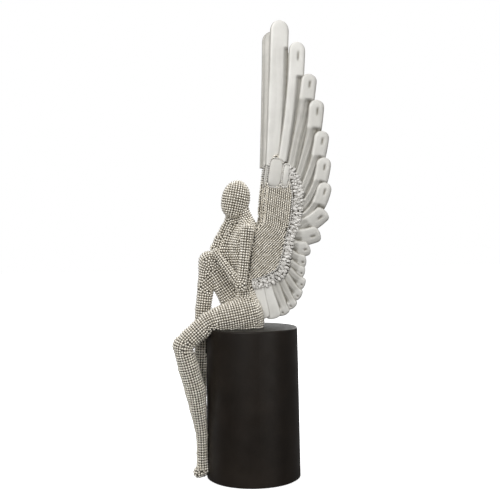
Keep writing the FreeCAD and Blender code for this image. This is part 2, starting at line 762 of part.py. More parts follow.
def build_figure(parts, rod):
    base = base_outer_form()
    torso = torso_form()
    head = head_form()
    forms = {name: limb_form(name) for name in LIMBS}

    neck = rod_between("neck_dowel_pin", "neck_dowel_start", "neck_dowel_end", "neck_dowel_radius")
    left_shoulder = rod_between("left_shoulder_pin", "left_shoulder_dowel_start",
                                "left_shoulder_dowel_end", "limb_dowel_radius")
    right_shoulder = mirror_across_middle("right_shoulder_pin", left_shoulder)
    left_hip = rod_between("left_hip_pin", "left_hip_dowel_start", "left_hip_dowel_end",
                           "limb_dowel_radius")
    right_hip = rod_between("right_hip_pin", "right_hip_dowel_start", "right_hip_dowel_end",
                            "limb_dowel_radius")
    wing_pins = []
    for name in ("upper_wing_pin", "lower_wing_pin"):
        pin = rod_between(name, name + "_start", name + "_end", "wing_pin_radius")
        wing_pins += [pin, mirror_across_middle(name + "_right", pin)]
    shoulder_dowels = group("shoulder_dowel_pair", [left_shoulder, right_shoulder])
    hip_dowels = group("hip_dowel_pair", [left_hip, right_hip])
    all_wing_pins = group("wing_pin_set", wing_pins)

    parts["torso"] = cut_away("torso", torso, [neck, shoulder_dowels, hip_dowels, all_wing_pins,
                                               rod, head, base])
    parts["head"] = cut_away("head", head, [neck])
    parts["left_leg"] = cut_away("left_leg", forms["left_leg"], [hip_dowels, torso, base])
    parts["right_leg"] = cut_away("right_leg", forms["right_leg"],
                                  [hip_dowels, torso, base, forms["left_leg"]])
    parts["right_arm"] = cut_away("right_arm", forms["right_arm"],
                                  [shoulder_dowels, torso, head, forms["right_leg"]])
    parts["left_arm"] = cut_away("left_arm", forms["left_arm"],
                                 [shoulder_dowels, torso, forms["left_leg"], forms["right_leg"],
                                  forms["right_arm"]])
    parts["neck_dowel"] = neck
    parts["shoulder_dowels"] = shoulder_dowels
    parts["hip_dowels"] = hip_dowels
    parts["wing_pins"] = all_wing_pins
    return [torso, forms["left_leg"]], all_wing_pins


def build_wings(parts, neighbours, wing_pins, sheet):
    """Left wing, fitted to the solids beside it, and its mirror image on the right."""
    wing = wing_placement()
    plate = wing_arm_plate(wing)
    left = {
        "wing_arm": cut_away("wing_arm", plate, [wing_pins] + neighbours),
        "covert_panels": covert_panels(wing, plate),
        "crystal_trim": crystal_trim(wing),
    }
    for name in FEATHERS:
        left[name + "_feather"] = cut_away(name, feather(name, wing, sheet),
                                          [plate] + neighbours)
    for name, item in left.items():
        parts["left_" + name] = item
        parts["right_" + name] = mirror_across_middle("right_" + name, item)


def check_and_export(parts):
    document.recompute()
    for item in document.Objects:
        if "Invalid" in item.State or "Error" in item.State:
            raise ValueError("%s did not build: %s" % (item.Name, item.State))
    for name, item in parts.items():
        if item.Shape.isNull() or not item.Shape.isValid() or not item.Shape.Solids:
            raise ValueError(name + " is not a valid solid")
    os.makedirs("parts", exist_ok=True)
    for name, item in parts.items():
        item.Label = name
        item.Shape.exportStep("parts/" + name + ".step")
        print(name, len(item.Shape.Solids), "solid", round(item.Shape.Volume / 1000.0, 2), "cm3")


dimensions = fill_sheet()
all_parts = {}
tie_rod = build_base(all_parts)
body_solids, pins = build_figure(all_parts, tie_rod)
build_wings(all_parts, body_solids, pins, dimensions)
check_and_export(all_parts)
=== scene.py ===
import math

import bpy
import numpy as np
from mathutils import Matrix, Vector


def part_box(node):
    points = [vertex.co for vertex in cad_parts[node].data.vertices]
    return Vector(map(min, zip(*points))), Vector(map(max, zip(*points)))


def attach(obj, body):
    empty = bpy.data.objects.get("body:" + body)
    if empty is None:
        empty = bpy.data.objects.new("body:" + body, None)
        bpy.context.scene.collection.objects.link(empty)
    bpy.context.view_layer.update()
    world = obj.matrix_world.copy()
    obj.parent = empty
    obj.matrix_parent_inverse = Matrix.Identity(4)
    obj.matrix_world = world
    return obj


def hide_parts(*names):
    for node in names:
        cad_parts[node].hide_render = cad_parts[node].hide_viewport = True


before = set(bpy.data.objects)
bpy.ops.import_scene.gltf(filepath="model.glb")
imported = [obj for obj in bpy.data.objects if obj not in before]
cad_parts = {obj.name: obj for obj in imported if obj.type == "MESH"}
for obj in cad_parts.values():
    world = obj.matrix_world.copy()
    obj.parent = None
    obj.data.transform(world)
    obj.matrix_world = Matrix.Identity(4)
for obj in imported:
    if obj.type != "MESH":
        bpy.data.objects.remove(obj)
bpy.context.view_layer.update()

import openvdb
from mathutils import Matrix
from mathutils.kdtree import KDTree

# Winged figure trophy. Shapes are worked out in millimetres in the CAD model's own frame (+Z up, the
# figure faces -Y, its left side is +X) and turned into metres when a mesh is made.

MM = 0.001
SEED = 7

# ---------------------------------------------------------------- driving dimensions

BASE_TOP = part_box("base_cylinder")[1].z / MM
BASE_TOP_RADIUS = 53.8
BASE_BOTTOM_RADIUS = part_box("base_cylinder")[1].x / MM

BEAD_PITCH = 3.05
BEAD_RADIUS = 1.48
BEAD_RINGS = (-25.0, 15.0, 50.0)    # elevations of a bead's rings, in degrees; the last point is its top
BEAD_SIDES = 8
SKIN_INSET = 1.2                    # the skin and the beads' centres lie this far inside the CAD's surface
SKIN_VOXEL = 1.25
SEAM_OVERLAP = 1.0                  # each skin casting runs this far past its neighbour's edge

# Joint centres, as in the CAD model, but for the ankles, heels and toes, which are up to 1.5 mm off.
JOINTS = {
    "left_shoulder": (21.5, -7.0, 291.0),
    "left_elbow": (22.0, -15.0, 226.0),
    "left_wrist": (4.0, -39.0, 261.0),
    "left_hand": (0.5, -42.5, 266.5),
    "right_shoulder": (-21.5, -7.0, 291.0),
    "right_elbow": (-13.0, -41.2, 270.0),
    "right_wrist": (-9.0, -24.8, 305.0),
    "right_hand": (-8.5, -23.8, 310.5),
    "left_hip": (13.0, -8.0, 194.5),
    "left_thigh": (13.5, -52.0, 185.8),
    "left_knee": (14.0, -83.7, 159.2),
    "left_calf": (9.6, -68.5, 105.0),
    "left_ankle": (5.0, -61.3, 52.0),
    "left_heel": (4.0, -61.3, 11.5),
    "left_toe": (9.0, -66.0, 10.5),
    "right_hip": (-13.0, -10.0, 194.5),
    "right_knee": (-14.0, -48.5, 255.0),
    "right_shin_top": (-14.0, -56.5, 198.0),
    "right_ankle": (-14.0, -60.3, 120.0),
    "right_toe": (-14.0, -60.6, 93.0),
}
# Muscle profiles: share of the way between two joints, radius in millimetres.
THIGH = ((0.0, 17.3), (0.3, 16.0), (0.6, 14.0), (0.85, 12.6), (1.0, 12.2))
LOWERED_THIGH = ((0.0, 17.6), (0.25, 17.9), (0.5, 16.9), (0.75, 14.3), (1.0, 11.6))
THIGH_TO_KNEE = ((0.0, 11.6), (0.35, 12.0), (0.7, 11.8), (1.0, 10.9))
CALF = ((0.0, 10.9), (0.5, 12.2), (1.0, 12.3))
LOWER_CALF = ((0.0, 12.3), (0.4, 9.9), (0.77, 7.7), (1.0, 7.0))
RAISED_CALF = ((0.0, 12.2), (0.12, 11.5), (0.5, 10.0), (1.0, 9.5))
LOWER_SHIN = ((0.0, 9.4), (0.3, 9.6), (0.7, 8.4), (1.0, 7.6))
UPPER_ARM = ((0.0, 8.4), (0.18, 6.6), (0.5, 5.9), (1.0, 5.6))
FOREARM = ((0.0, 5.8), (0.3, 5.9), (0.7, 4.9), (1.0, 4.1))
LIMBS = {
    "left_leg": (("left_hip", "left_thigh", LOWERED_THIGH),
                 ("left_thigh", "left_knee", THIGH_TO_KNEE), ("left_knee", "left_calf", CALF),
                 ("left_calf", "left_ankle", LOWER_CALF),
                 ("left_ankle", "left_heel", ((0.0, 7.0), (0.5, 6.5), (1.0, 7.4))),
                 ("left_heel", "left_toe", ((0.0, 7.4), (1.0, 6.6)))),
    "right_leg": (("right_hip", "right_knee", THIGH),
                  ("right_knee", "right_shin_top", RAISED_CALF),
                  ("right_shin_top", "right_ankle", LOWER_SHIN),
                  ("right_ankle", "right_toe", ((0.0, 7.6), (1.0, 6.8)))),
    "left_arm": (("left_shoulder", "left_elbow", UPPER_ARM), ("left_elbow", "left_wrist", FOREARM),
                 ("left_wrist", "left_hand", ((0.0, 4.3), (1.0, 4.6)))),
    "right_arm": (("right_shoulder", "right_elbow", UPPER_ARM),
                  ("right_elbow", "right_wrist", FOREARM),
                  ("right_wrist", "right_hand", ((0.0, 4.3), (1.0, 4.6)))),
}
# Torso from the seat to the neck: height, centre along Y, half width, half depth.
TORSO_SECTIONS = (
    (172.0, -3.0, 20.0, 15.0), (185.0, -2.0, 22.5, 16.5), (201.0, -4.5, 21.0, 15.0),
    (221.0, -7.0, 17.0, 12.0), (239.0, -7.5, 14.5, 10.5), (255.0, -9.5, 17.0, 13.5),
    (272.0, -10.0, 20.0, 16.5), (285.0, -7.0, 21.0, 15.5), (297.0, -4.0, 18.0, 12.0),
    (306.0, -6.0, 10.5, 9.0), (317.0, -9.5, 8.2, 7.8),
)
# Web of metal that closes the gap between the chest and the right arm.
WEB = ((-8.0, -18.5, 301.5), (-9.0, -28.5, 267.0), (-8.0, -18.0, 245.0))
WEB_RADIUS = 8.8
HEAD_CENTRE = (0.0, -17.0, 329.0)
HEAD_HALF = (14.5, 16.8, 22.0)
HEAD_TIP = math.radians(-12.0)
JAW_CENTRE = (0.0, -21.5, 319.5)
JAW_RADIUS = 11.5

# Parts of the figure, in the order that they are blended, with the radius of each blend.
FIGURE_PARTS = (("torso", 0.0), ("left_leg", 9.0), ("right_leg", 7.0), ("left_arm", 3.0),
                ("right_arm", 3.0), ("head", 4.0))
BLEND_IN_LIMB = 2.0

# The wing's flat frame: p runs back, q runs up, n points out of the outer face.
WING_ORIGIN = np.array((14.0, 0.0, 292.0))
WING_FLARE = 0.13
WING_TILT = 0.05
WING_ARM_OUTLINE = (
    (11, 9), (13, 28), (16, 50), (20, 70), (24, 85), (31, 88), (40, 81), (51, 60), (56, 34),
    (55, 10), (48, -8), (45, -28), (42, -48), (34, -58), (20, -65), (3, -68), (-5, -58), (-7, -30),
    (-2, -8),
)
WING_ARM_HALF = 4.0
WING_ARM_BULGE = 2.5
CRYSTAL_LINE = ((43, 71), (50, 50), (51, 30), (48, 10), (42, -8), (38, -26), (31, -46), (18, -55),
                (4, -60), (-2, -62))
# Covert panels: centre p, centre q, half width, half length, lean in degrees.
COVERT_PANELS = ((27.6, 66.0, 7.6, 16.0, -9.0), (39.8, 62.5, 3.6, 12.5, -9.0))
NOTCH = (11.0, 9.0)                 # where the bead rows of the wing arm bend
# Reach of the crystal band inwards and outwards from its line: share of the line's length, reach.
BAND_INNER = ((0.0, 3.0), (0.1, 4.6), (0.35, 4.6), (0.5, 3.0), (1.0, 3.0))
BAND_OUTER = ((0.0, 6.0), (0.1, 9.0), (0.42, 9.0), (0.52, 7.5), (0.64, 8.0), (0.76, 10.5), (0.9, 10.5),
              (1.0, 8.0))
PANEL_RIM = 4.3                     # heights of the covert panels' edge and dome above mid plane
PANEL_DOME = 1.4

# Feathers, from the tall leading one round to the lowest: kind, root, bend and tip as (p, q), half
# width, length of the raised pad at the tip, and the share of the width that the rib below it takes.
FEATHERS = {
    "primary_1": ("tall", (27, 74), (32, 158), (35, 242), 10.9, 31.0, 0.82),
    "primary_2": ("tall", (39, 76), (53, 145), (55, 217), 9.6, 39.0, 0.58),
    "primary_3": ("fan", (48, 66), (63, 126), (69, 180), 9.4, 29.0, 0.50),
    "primary_4": ("fan", (54, 50), (75, 102), (77, 150), 9.2, 32.0, 0.48),
    "primary_5": ("fan", (56, 33), (79, 70), (83, 114), 9.0, 29.0, 0.48),
    "primary_6": ("fan", (56, 19), (82, 41), (85, 83), 9.0, 27.0, 0.48),
    "primary_7": ("fan", (54, 8), (80, 17), (86, 54), 9.0, 26.0, 0.48),
    "secondary_1": ("block", (50, 0), (67, 2), (86, 21), 10.0, 24.0, 0.6),
    "secondary_2": ("block", (46, -9), (62, -12), (79, -4), 10.0, 22.0, 0.55),
    "secondary_3": ("block", (44, -20), (56, -26), (67, -21), 9.2, 14.0, 0.5),
    "secondary_4": ("block", (42, -31), (51, -38), (63, -38), 8.4, 10.0, 0.5),
    "secondary_5": ("block", (41, -41), (50, -49), (61, -52), 7.6, 9.0, 0.5),
    "lower_1": ("block", (39, -49), (48, -61), (61, -66), 7.6, 9.0, 0.5),
    "lower_2": ("block", (35, -55), (45, -73), (56, -80), 7.8, 9.0, 0.5),
    "lower_3": ("block", (29, -59), (38, -80), (47, -93), 7.8, 9.0, 0.5),
    "lower_4": ("block", (22, -62), (30, -85), (37, -101), 8.0, 9.0, 0.6),
    "lower_5": ("hanging", (14, -64), (20, -88), (25, -105), 9.0, 60.0, 1.0),
    "lower_6": ("hanging", (6, -66), (9, -89), (12, -105), 8.4, 60.0, 1.0),
}
# Kinds of feather: how round the tip is, depth of the hollow beside the rib, the share of the rib's
# height that is left near the root, height of the pad, how flat its top is, the share of the width
# at the root, and the height of the soft ridges.
FEATHER_KINDS = {
    "tall": (1.2, 1.8, 0.95, 2.6, 3.4, 1.0, 0.08),
    "fan": (1.0, 0.8, 0.22, 2.6, 2.6, 0.90, 0.26),
    "block": (0.6, 0.6, 0.18, 2.4, 2.8, 1.12, 0.14),
    "hanging": (0.55, 0.2, 1.0, 1.5, 5.0, 0.85, 0.18),
}
WITHOUT_SLOT = ("primary_1", "lower_5", "lower_6")
PAINTED_EDGE_SHADE = 0.45                  # darkness of the painted shade along a feather's sides, also laid all over its inner face
# Darkness of the patina and painted shade: patina in the hollow, painted shadow in it under the pad,
# patina in the valleys between ridges, a darker tone all over the field below the pad, and on the pad.
PATINA_AND_PAINTED_SHADE = {
    "tall": (0.45, 0.25, 0.08, 0.02, 0.0),
    "fan": (0.20, 0.42, 0.26, 0.34, 0.14),
    "block": (0.16, 0.42, 0.22, 0.34, 0.14),
    "hanging": (0.0, 0.0, 0.05, 0.0, 0.0),
}
FEATHER_TILT = math.tan(math.radians(11.0))     # slope of a feather across its width
FEATHER_BACK = 1.3                  # thickness behind a feather's mid plane, without the swell
STATION_STEP = 1.4                  # spacing of a feather's sections
ACROSS_STEPS = 26                   # steps across each face of a feather

# Camera: distance from the base's axis, height, azimuth and roll, then its focal length and its shift
# as shares of the frame's width.
CAMERA_DISTANCE = 1043.0
CAMERA_HEIGHT = 287.0
CAMERA_AZIMUTH = math.radians(82.0)
CAMERA_ROLL = math.radians(-0.8)
CAMERA_FOCAL = 1.76
CAMERA_SHIFT = (-0.0012, -0.032)
SENSOR = 36.0
SKY_BELOW = 0.14                    # strength of the surroundings' light from below and from above
SKY_ABOVE = 0.52
LIGHT_TARGET = (0.0, 0.0, 0.28)     # the point that the lights face, in metres
# Lights: place in metres, width and height, power in watts.
LIGHTS = {
    "key": ((1.45, -0.75, 1.0), (1.2, 1.5), 22.0),
    "front": ((-0.42, -1.35, 0.3), (0.25, 1.2), 1.5),
    "fill": ((1.4, 0.9, 0.5), (1.0, 1.4), 8.0),
    "top": ((0.2, -0.1, 1.7), (1.6, 1.6), 8.0),
    "back": ((-1.2, 0.6, 0.9), (1.0, 1.4), 14.0),
}


# ---------------------------------------------------------------- meshes

def make_piece(name, points, faces, material, replaces=(), patina_and_painted_shade=None, flat=False):
    """Mesh object from millimetre points, riding on the trophy's one body."""
    mesh = bpy.data.meshes.new(name)
    mesh.from_pydata((np.asarray(points) * MM).tolist(), [], faces)
    mesh.polygons.foreach_set("use_smooth", [not flat] * len(mesh.polygons))
    if patina_and_painted_shade is not None:
        attribute = mesh.attributes.new("patina_and_painted_shade", "FLOAT", "POINT")
        attribute.data.foreach_set("value", np.asarray(patina_and_painted_shade, np.float32))
    mesh.materials.append(material)
    mesh.update()
    piece = bpy.data.objects.new(name, mesh)
    bpy.context.scene.collection.objects.link(piece)
    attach(piece, "root")
    if replaces:
        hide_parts(*replaces)


def tube_faces(stations, loop):
    """Faces of a closed tube made of loops of equal length, with a cap at each end."""
    faces = []
    for row in range(stations - 1):
        start = row * loop
        for column in range(loop):
            following = (column + 1) % loop
            faces.append((start + column, start + following, start + loop + following,
                          start + loop + column))
    faces.append(tuple(range(loop))[::-1])
    faces.append(tuple(range((stations - 1) * loop, stations * loop)))
    return faces


def flipped(faces):
    return [tuple(face)[::-1] for face in faces]


def facing_out(points, faces):
    """The faces, turned over if the closed mesh that they make is inside out."""
    volume = 0.0
    for face in faces[::7]:
        a, b, c = (points[corner] for corner in face[:3])
        volume += np.dot(np.cross(b - a, c - a), a - points.mean(0))
    return faces if volume > 0 else flipped(faces)


def through_points(points, per_span, closed=False):
    """Smooth curve (Catmull-Rom) through the points."""
    points = np.asarray(points, float)
    count = len(points)
    spans = count if closed else count - 1
    out = []
    for span in range(spans):
        if closed:
            corners = [points[(span + shift) % count] for shift in (-1, 0, 1, 2)]
        else:
            corners = [points[min(max(span + shift, 0), count - 1)] for shift in (-1, 0, 1, 2)]
        a, b, c, d = corners
        for step in range(per_span):
            t = step / per_span
            out.append(0.5 * (2 * b + (c - a) * t + (2 * a - 5 * b + 4 * c - d) * t * t
                              + (3 * b - a - 3 * c + d) * t ** 3))
    if not closed:
        out.append(points[-1])
    return np.array(out)


def smoothstep(low, high, value):
    t = np.clip((value - low) / (high - low), 0.0, 1.0)
    return t * t * (3 - 2 * t)


def skin_mesh(distance, low, high):
    """Closed mesh where a distance function of points is zero, inside a box."""
    counts = np.ceil((high - low) / SKIN_VOXEL).astype(int) + 1
    grid = np.indices(counts).reshape(3, -1).T * SKIN_VOXEL + low
    values = np.concatenate([distance(part) for part in np.array_split(grid, 12)])
    values = np.clip(values, -3 * SKIN_VOXEL, 3 * SKIN_VOXEL).astype(np.float32).reshape(counts)
    volume = openvdb.FloatGrid(3.0 * SKIN_VOXEL)
    volume.copyFromArray(values)
    points, quads = volume.convertToQuads(isovalue=0.0)
    points = points * SKIN_VOXEL + low
    faces = facing_out(points, [tuple(quad) for quad in quads.tolist()])
    return points, faces


def spread_evenly(candidates, accepted, spacing):
    """Indices of the candidates that keep their spacing from each other and from those accepted."""
    cells = {}

    def near(point):
        home = tuple(int(math.floor(value / spacing)) for value in point)
        for x in (-1, 0, 1):
            for y in (-1, 0, 1):
                for z in (-1, 0, 1):
                    for other in cells.get((home[0] + x, home[1] + y, home[2] + z), ()):
                        gap = sum((a - b) ** 2 for a, b in zip(point, other))
                        if gap < spacing * spacing:
                            return None
        return home

    for point in accepted:
        home = tuple(int(math.floor(value / spacing)) for value in point)
        cells.setdefault(home, []).append(tuple(point))
    chosen = []
    for index, point in enumerate(candidates.tolist()):
        home = near(point)
        if home is not None:
            cells.setdefault(home, []).append(tuple(point))
            chosen.append(index)
    return chosen


def bead_template():
    """Unit bead: a low dome, closed underneath, as rings of corners and a top."""
    corners = []
    for elevation in BEAD_RINGS:
        out = math.cos(math.radians(elevation))
        rise = math.sin(math.radians(elevation))
        for side in range(BEAD_SIDES):
            turn = 2 * math.pi * side / BEAD_SIDES
            corners.append((out * math.cos(turn), out * math.sin(turn), rise))
    corners.append((0.0, 0.0, 1.0))
    top = len(corners) - 1
    faces = [tuple(range(BEAD_SIDES))[::-1]]
    for ring in range(len(BEAD_RINGS) - 1):
        for side in range(BEAD_SIDES):
            following = (side + 1) % BEAD_SIDES
            start = ring * BEAD_SIDES
            faces.append((start + side, start + following, start + BEAD_SIDES + following,
                          start + BEAD_SIDES + side))
    last = top - BEAD_SIDES
    for side in range(BEAD_SIDES):
        faces.append((last + side, last + (side + 1) % BEAD_SIDES, top))
    return np.array(corners), faces


def scatter_beads(name, places, normals, radii, material, rng):
    """One mesh of beads that stand on the given places."""
    corners, faces = bead_template()
    count = len(places)
    helper = np.where(np.abs(normals[:, :1]) < 0.8, [[1.0, 0.0, 0.0]], [[0.0, 1.0, 0.0]])
    across = np.cross(normals, helper)
    across /= np.linalg.norm(across, axis=1, keepdims=True)
    other = np.cross(normals, across)
    size = radii * rng.uniform(0.95, 1.05, count)
    points = (places[:, None, :]
              + size[:, None, None] * (corners[None, :, :1] * across[:, None, :]
                                       + corners[None, :, 1:2] * other[:, None, :]
                                       + corners[None, :, 2:] * normals[:, None, :]))
    all_faces = []
    for number in range(count):
        start = number * len(corners)
        all_faces += [tuple(start + corner for corner in face) for face in faces]
    make_piece(name, points.reshape(-1, 3), all_faces, material)


# ---------------------------------------------------------------- distance functions of the figure

def smooth_min(a, b, radius):
    blend = np.maximum(radius - np.abs(a - b), 0.0) / max(radius, 1e-6)
    return np.minimum(a, b) - blend * blend * radius * 0.25


def round_cone(points, start, end, first, last):
    """Distance to a ball of one radius swept in a straight line to a ball of another."""
    axis = end - start
    length2 = axis @ axis
    drop = first - last
    slope2 = length2 - drop * drop
    offset = points - start
    y = offset @ axis
    z = y - length2
    x2 = ((offset * length2 - y[:, None] * axis) ** 2).sum(1)
    y2 = y * y * length2
    z2 = z * z * length2
    limit = np.sign(drop) * drop * drop * x2
    side = (np.sqrt(x2 * slope2 / length2) + y * drop) / length2 - first
    side = np.where(np.sign(y) * slope2 * y2 < limit, np.sqrt(x2 + y2) / length2 - first, side)
    return np.where(np.sign(z) * slope2 * z2 > limit, np.sqrt(x2 + z2) / length2 - last, side)


def ellipsoid(points, centre, half, tip):
    """Near-exact distance to an ellipsoid turned about X."""
    offset = points - np.array(centre)
    cos, sin = math.cos(tip), math.sin(tip)
    local = np.stack([offset[:, 0], offset[:, 1] * cos + offset[:, 2] * sin,
                      -offset[:, 1] * sin + offset[:, 2] * cos], axis=1)
    scaled = np.linalg.norm(local / half, axis=1)
    steep = np.linalg.norm(local / np.square(half), axis=1)
    return scaled * (scaled - 1.0) / np.maximum(steep, 1e-6)


def limb_stations(name):
    """Centres and radii along a limb, from its muscle profiles."""
    stations = []
    for start, end, profile in LIMBS[name]:
        first = np.array(JOINTS[start])
        last = np.array(JOINTS[end])
        for share, radius in profile:
            stations.append((first + (last - first) * share, radius))
    return stations


STATIONS = {name: limb_stations(name) for name in LIMBS}
TORSO_CURVE = through_points(TORSO_SECTIONS, 8)


def limb_distance(points, name):
    stations = STATIONS[name]
    result = None
    for (start, first), (end, last) in zip(stations, stations[1:]):
        if np.allclose(start, end):
            continue
        span = round_cone(points, start, end, first, last)
        result = span if result is None else smooth_min(result, span, BLEND_IN_LIMB)
    return result


def torso_distance(points):
    height = np.clip(points[:, 2], TORSO_CURVE[0, 0], TORSO_CURVE[-1, 0])
    centre, width, depth = (np.interp(height, TORSO_CURVE[:, 0], TORSO_CURVE[:, column])
                            for column in (1, 2, 3))
    local = np.stack([points[:, 0], points[:, 1] - centre], axis=1)
    half = np.stack([width, depth], axis=1)
    scaled = np.linalg.norm(local / half, axis=1)
    steep = np.linalg.norm(local / np.square(half), axis=1)
    flat = np.where(scaled < 1e-3, -depth, scaled * (scaled - 1.0) / np.maximum(steep, 1e-6))
    result = np.hypot(np.maximum(flat, 0.0), points[:, 2] - height) + np.minimum(flat, 0.0)
    for start, end in zip(WEB, WEB[1:]):
        web = round_cone(points, np.array(start), np.array(end), WEB_RADIUS, WEB_RADIUS)
        result = smooth_min(result, web, 5.0)
    return result


def head_distance(points):
    skull = ellipsoid(points, HEAD_CENTRE, np.array(HEAD_HALF), HEAD_TIP)
    jaw = np.linalg.norm(points - np.array(JAW_CENTRE), axis=1) - JAW_RADIUS
    return smooth_min(skull, jaw, 6.0)


def part_distances(points):
    rows = []
    for name, blend in FIGURE_PARTS:
        if name == "torso":
            rows.append(torso_distance(points))
        elif name == "head":
            rows.append(head_distance(points))
        else:
            rows.append(limb_distance(points, name))
    return np.array(rows)


def blended(rows):
    result = rows[0]
    for row, (name, blend) in zip(rows[1:], FIGURE_PARTS[1:]):
        result = smooth_min(result, row, blend)
    return result


def base_distance(points):
    """Distance to the base's solid, with its slight taper."""
    radius = np.interp(points[:, 2], (0.0, BASE_TOP), (BASE_BOTTOM_RADIUS, BASE_TOP_RADIUS))
    return np.maximum(np.hypot(points[:, 0], points[:, 1]) - radius, points[:, 2] - BASE_TOP)


def figure_distance(points):
    return blended(part_distances(points))


def normals_of(distance, points):
    reach = 0.08
    slope = np.stack([distance(points + step) - distance(points - step)
                      for step in np.eye(3) * reach], axis=1)
    return slope / np.maximum(np.linalg.norm(slope, axis=1, keepdims=True), 1e-9)


def onto_surface(distance, points, rounds=3):
    for _ in range(rounds):
        points = points - normals_of(distance, points) * distance(points)[:, None]
    return points


# ---------------------------------------------------------------- materials

def surface(name, metallic, roughness, specular=0.5):
    """Principled material with its constant values on the shader's own sockets."""
    material = bpy.data.materials.new(name)
    material.use_nodes = True
    shader = material.node_tree.nodes["Principled BSDF"]
    shader.inputs["Metallic"].default_value = metallic
    shader.inputs["Roughness"].default_value = roughness
    shader.inputs["Specular IOR Level"].default_value = specular
    return material, material.node_tree.nodes, material.node_tree.links, shader


def noise(nodes, links, scale, detail=4.0, stretch=(1.0, 1.0, 1.0)):
    """Noise in object space, in metres; stretch scales its three axes."""
    coordinates = nodes.new("ShaderNodeTexCoord")
    mapping = nodes.new("ShaderNodeMapping")
    mapping.inputs["Scale"].default_value = stretch
    texture = nodes.new("ShaderNodeTexNoise")
    texture.inputs["Scale"].default_value = scale
    texture.inputs["Detail"].default_value = detail
    links.new(coordinates.outputs["Object"], mapping.inputs["Vector"])
    links.new(mapping.outputs["Vector"], texture.inputs["Vector"])
    return texture.outputs["Fac"]


def ramp(nodes, links, value, stops):
    node = nodes.new("ShaderNodeValToRGB")
    while len(node.color_ramp.elements) < len(stops):
        node.color_ramp.elements.new(0.5)
    for element, (position, colour) in zip(node.color_ramp.elements, stops):
        element.position = position
        element.color = (*colour, 1.0)
    links.new(value, node.inputs["Fac"])
    return node.outputs["Color"]


def spread(nodes, links, value, low, high):
    """A noise value, mapped to a range."""
    node = nodes.new("ShaderNodeMapRange")
    node.inputs["From Min"].default_value = 0.3
    node.inputs["From Max"].default_value = 0.7
    node.inputs["To Min"].default_value = low
    node.inputs["To Max"].default_value = high
    links.new(value, node.inputs["Value"])
    return node.outputs["Result"]


def mixed(nodes, links, factor, first, second):
    """Mix of two colours. Inputs 6 and 7 and output 2 of a mix node are its colours."""
    node = nodes.new("ShaderNodeMix")
    node.data_type = "RGBA"
    links.new(factor, node.inputs["Factor"])
    links.new(first, node.inputs[6])
    links.new(second, node.inputs[7])
    return node.outputs[2]


def bump(nodes, links, shader, height, strength, distance):
    node = nodes.new("ShaderNodeBump")
    node.inputs["Strength"].default_value = strength
    node.inputs["Distance"].default_value = distance
    links.new(height, node.inputs["Height"])
    links.new(node.outputs["Normal"], shader.inputs["Normal"])


def patina_and_painted_shade_value(nodes):
    node = nodes.new("ShaderNodeAttribute")
    node.attribute_name = "patina_and_painted_shade"
    return node.outputs["Fac"]


def bead_silver():
    material, nodes, links, shader = surface("bead_silver", 0.62, 0.34)
    tone = ramp(nodes, links, noise(nodes, links, 260.0, 3.0),
                ((0.3, (0.64, 0.595, 0.505)), (0.7, (0.92, 0.88, 0.80))))
    links.new(tone, shader.inputs["Base Color"])
    links.new(spread(nodes, links, noise(nodes, links, 900.0), 0.26, 0.42),
              shader.inputs["Roughness"])
    return material


def antique_skin():
    material, nodes, links, shader = surface("antique_skin", 0.25, 0.6)
    tone = ramp(nodes, links, noise(nodes, links, 400.0),
                ((0.3, (0.045, 0.038, 0.026)), (0.7, (0.12, 0.105, 0.08))))
    links.new(tone, shader.inputs["Base Color"])
    bump(nodes, links, shader, noise(nodes, links, 2500.0), 0.4, 0.0003)
    return material


def feather_silver():
    material, nodes, links, shader = surface("feather_silver", 0.18, 0.50)
    bright = ramp(nodes, links, noise(nodes, links, 55.0, 5.0),
                  ((0.3, (0.66, 0.647, 0.608)), (0.7, (0.75, 0.737, 0.698))))
    dark = ramp(nodes, links, noise(nodes, links, 120.0, 5.0),
                ((0.3, (0.14, 0.128, 0.10)), (0.7, (0.27, 0.25, 0.205))))
    links.new(mixed(nodes, links, patina_and_painted_shade_value(nodes), bright, dark), shader.inputs["Base Color"])
    links.new(spread(nodes, links, noise(nodes, links, 180.0), 0.42, 0.58),
              shader.inputs["Roughness"])
    bump(nodes, links, shader, noise(nodes, links, 160.0, 6.0, (1.0, 1.0, 0.22)), 0.3, 0.0006)
    return material


def crystal_silver():
    material, nodes, links, shader = surface("crystal_silver", 0.12, 0.45)
    tone = ramp(nodes, links, noise(nodes, links, 420.0, 2.0),
                ((0.3, (0.52, 0.50, 0.465)), (0.7, (0.78, 0.765, 0.735))))
    links.new(tone, shader.inputs["Base Color"])
    return material


def base_black():
    material, nodes, links, shader = surface("base_black", 0.0, 0.42, specular=0.2)
    side = ramp(nodes, links, noise(nodes, links, 28.0, 6.0),
                ((0.3, (0.0080, 0.0056, 0.0038)), (0.7, (0.0150, 0.0108, 0.0076))))
    # a lighter, rougher grey for the face that points up than for the sides
    top_grey = ramp(nodes, links, noise(nodes, links, 170.0, 8.0),
                   ((0.35, (0.016, 0.015, 0.012)), (0.65, (0.052, 0.049, 0.041))))
    geometry = nodes.new("ShaderNodeNewGeometry")
    split = nodes.new("ShaderNodeSeparateXYZ")
    upward = nodes.new("ShaderNodeMapRange")
    upward.inputs["From Min"].default_value = 0.85
    upward.inputs["From Max"].default_value = 0.99
    links.new(geometry.outputs["Normal"], split.inputs["Vector"])
    links.new(split.outputs["Z"], upward.inputs["Value"])
    links.new(mixed(nodes, links, upward.outputs["Result"], side, top_grey),
              shader.inputs["Base Color"])
    rougher = nodes.new("ShaderNodeMath")
    rougher.operation = "MAXIMUM"
    links.new(spread(nodes, links, noise(nodes, links, 60.0, 6.0), 0.36, 0.52), rougher.inputs[0])
    links.new(spread(nodes, links, upward.outputs["Result"], 0.0, 0.66), rougher.inputs[1])
    links.new(rougher.outputs["Value"], shader.inputs["Roughness"])
    bump(nodes, links, shader, noise(nodes, links, 500.0, 6.0), 0.25, 0.0004)
    return material


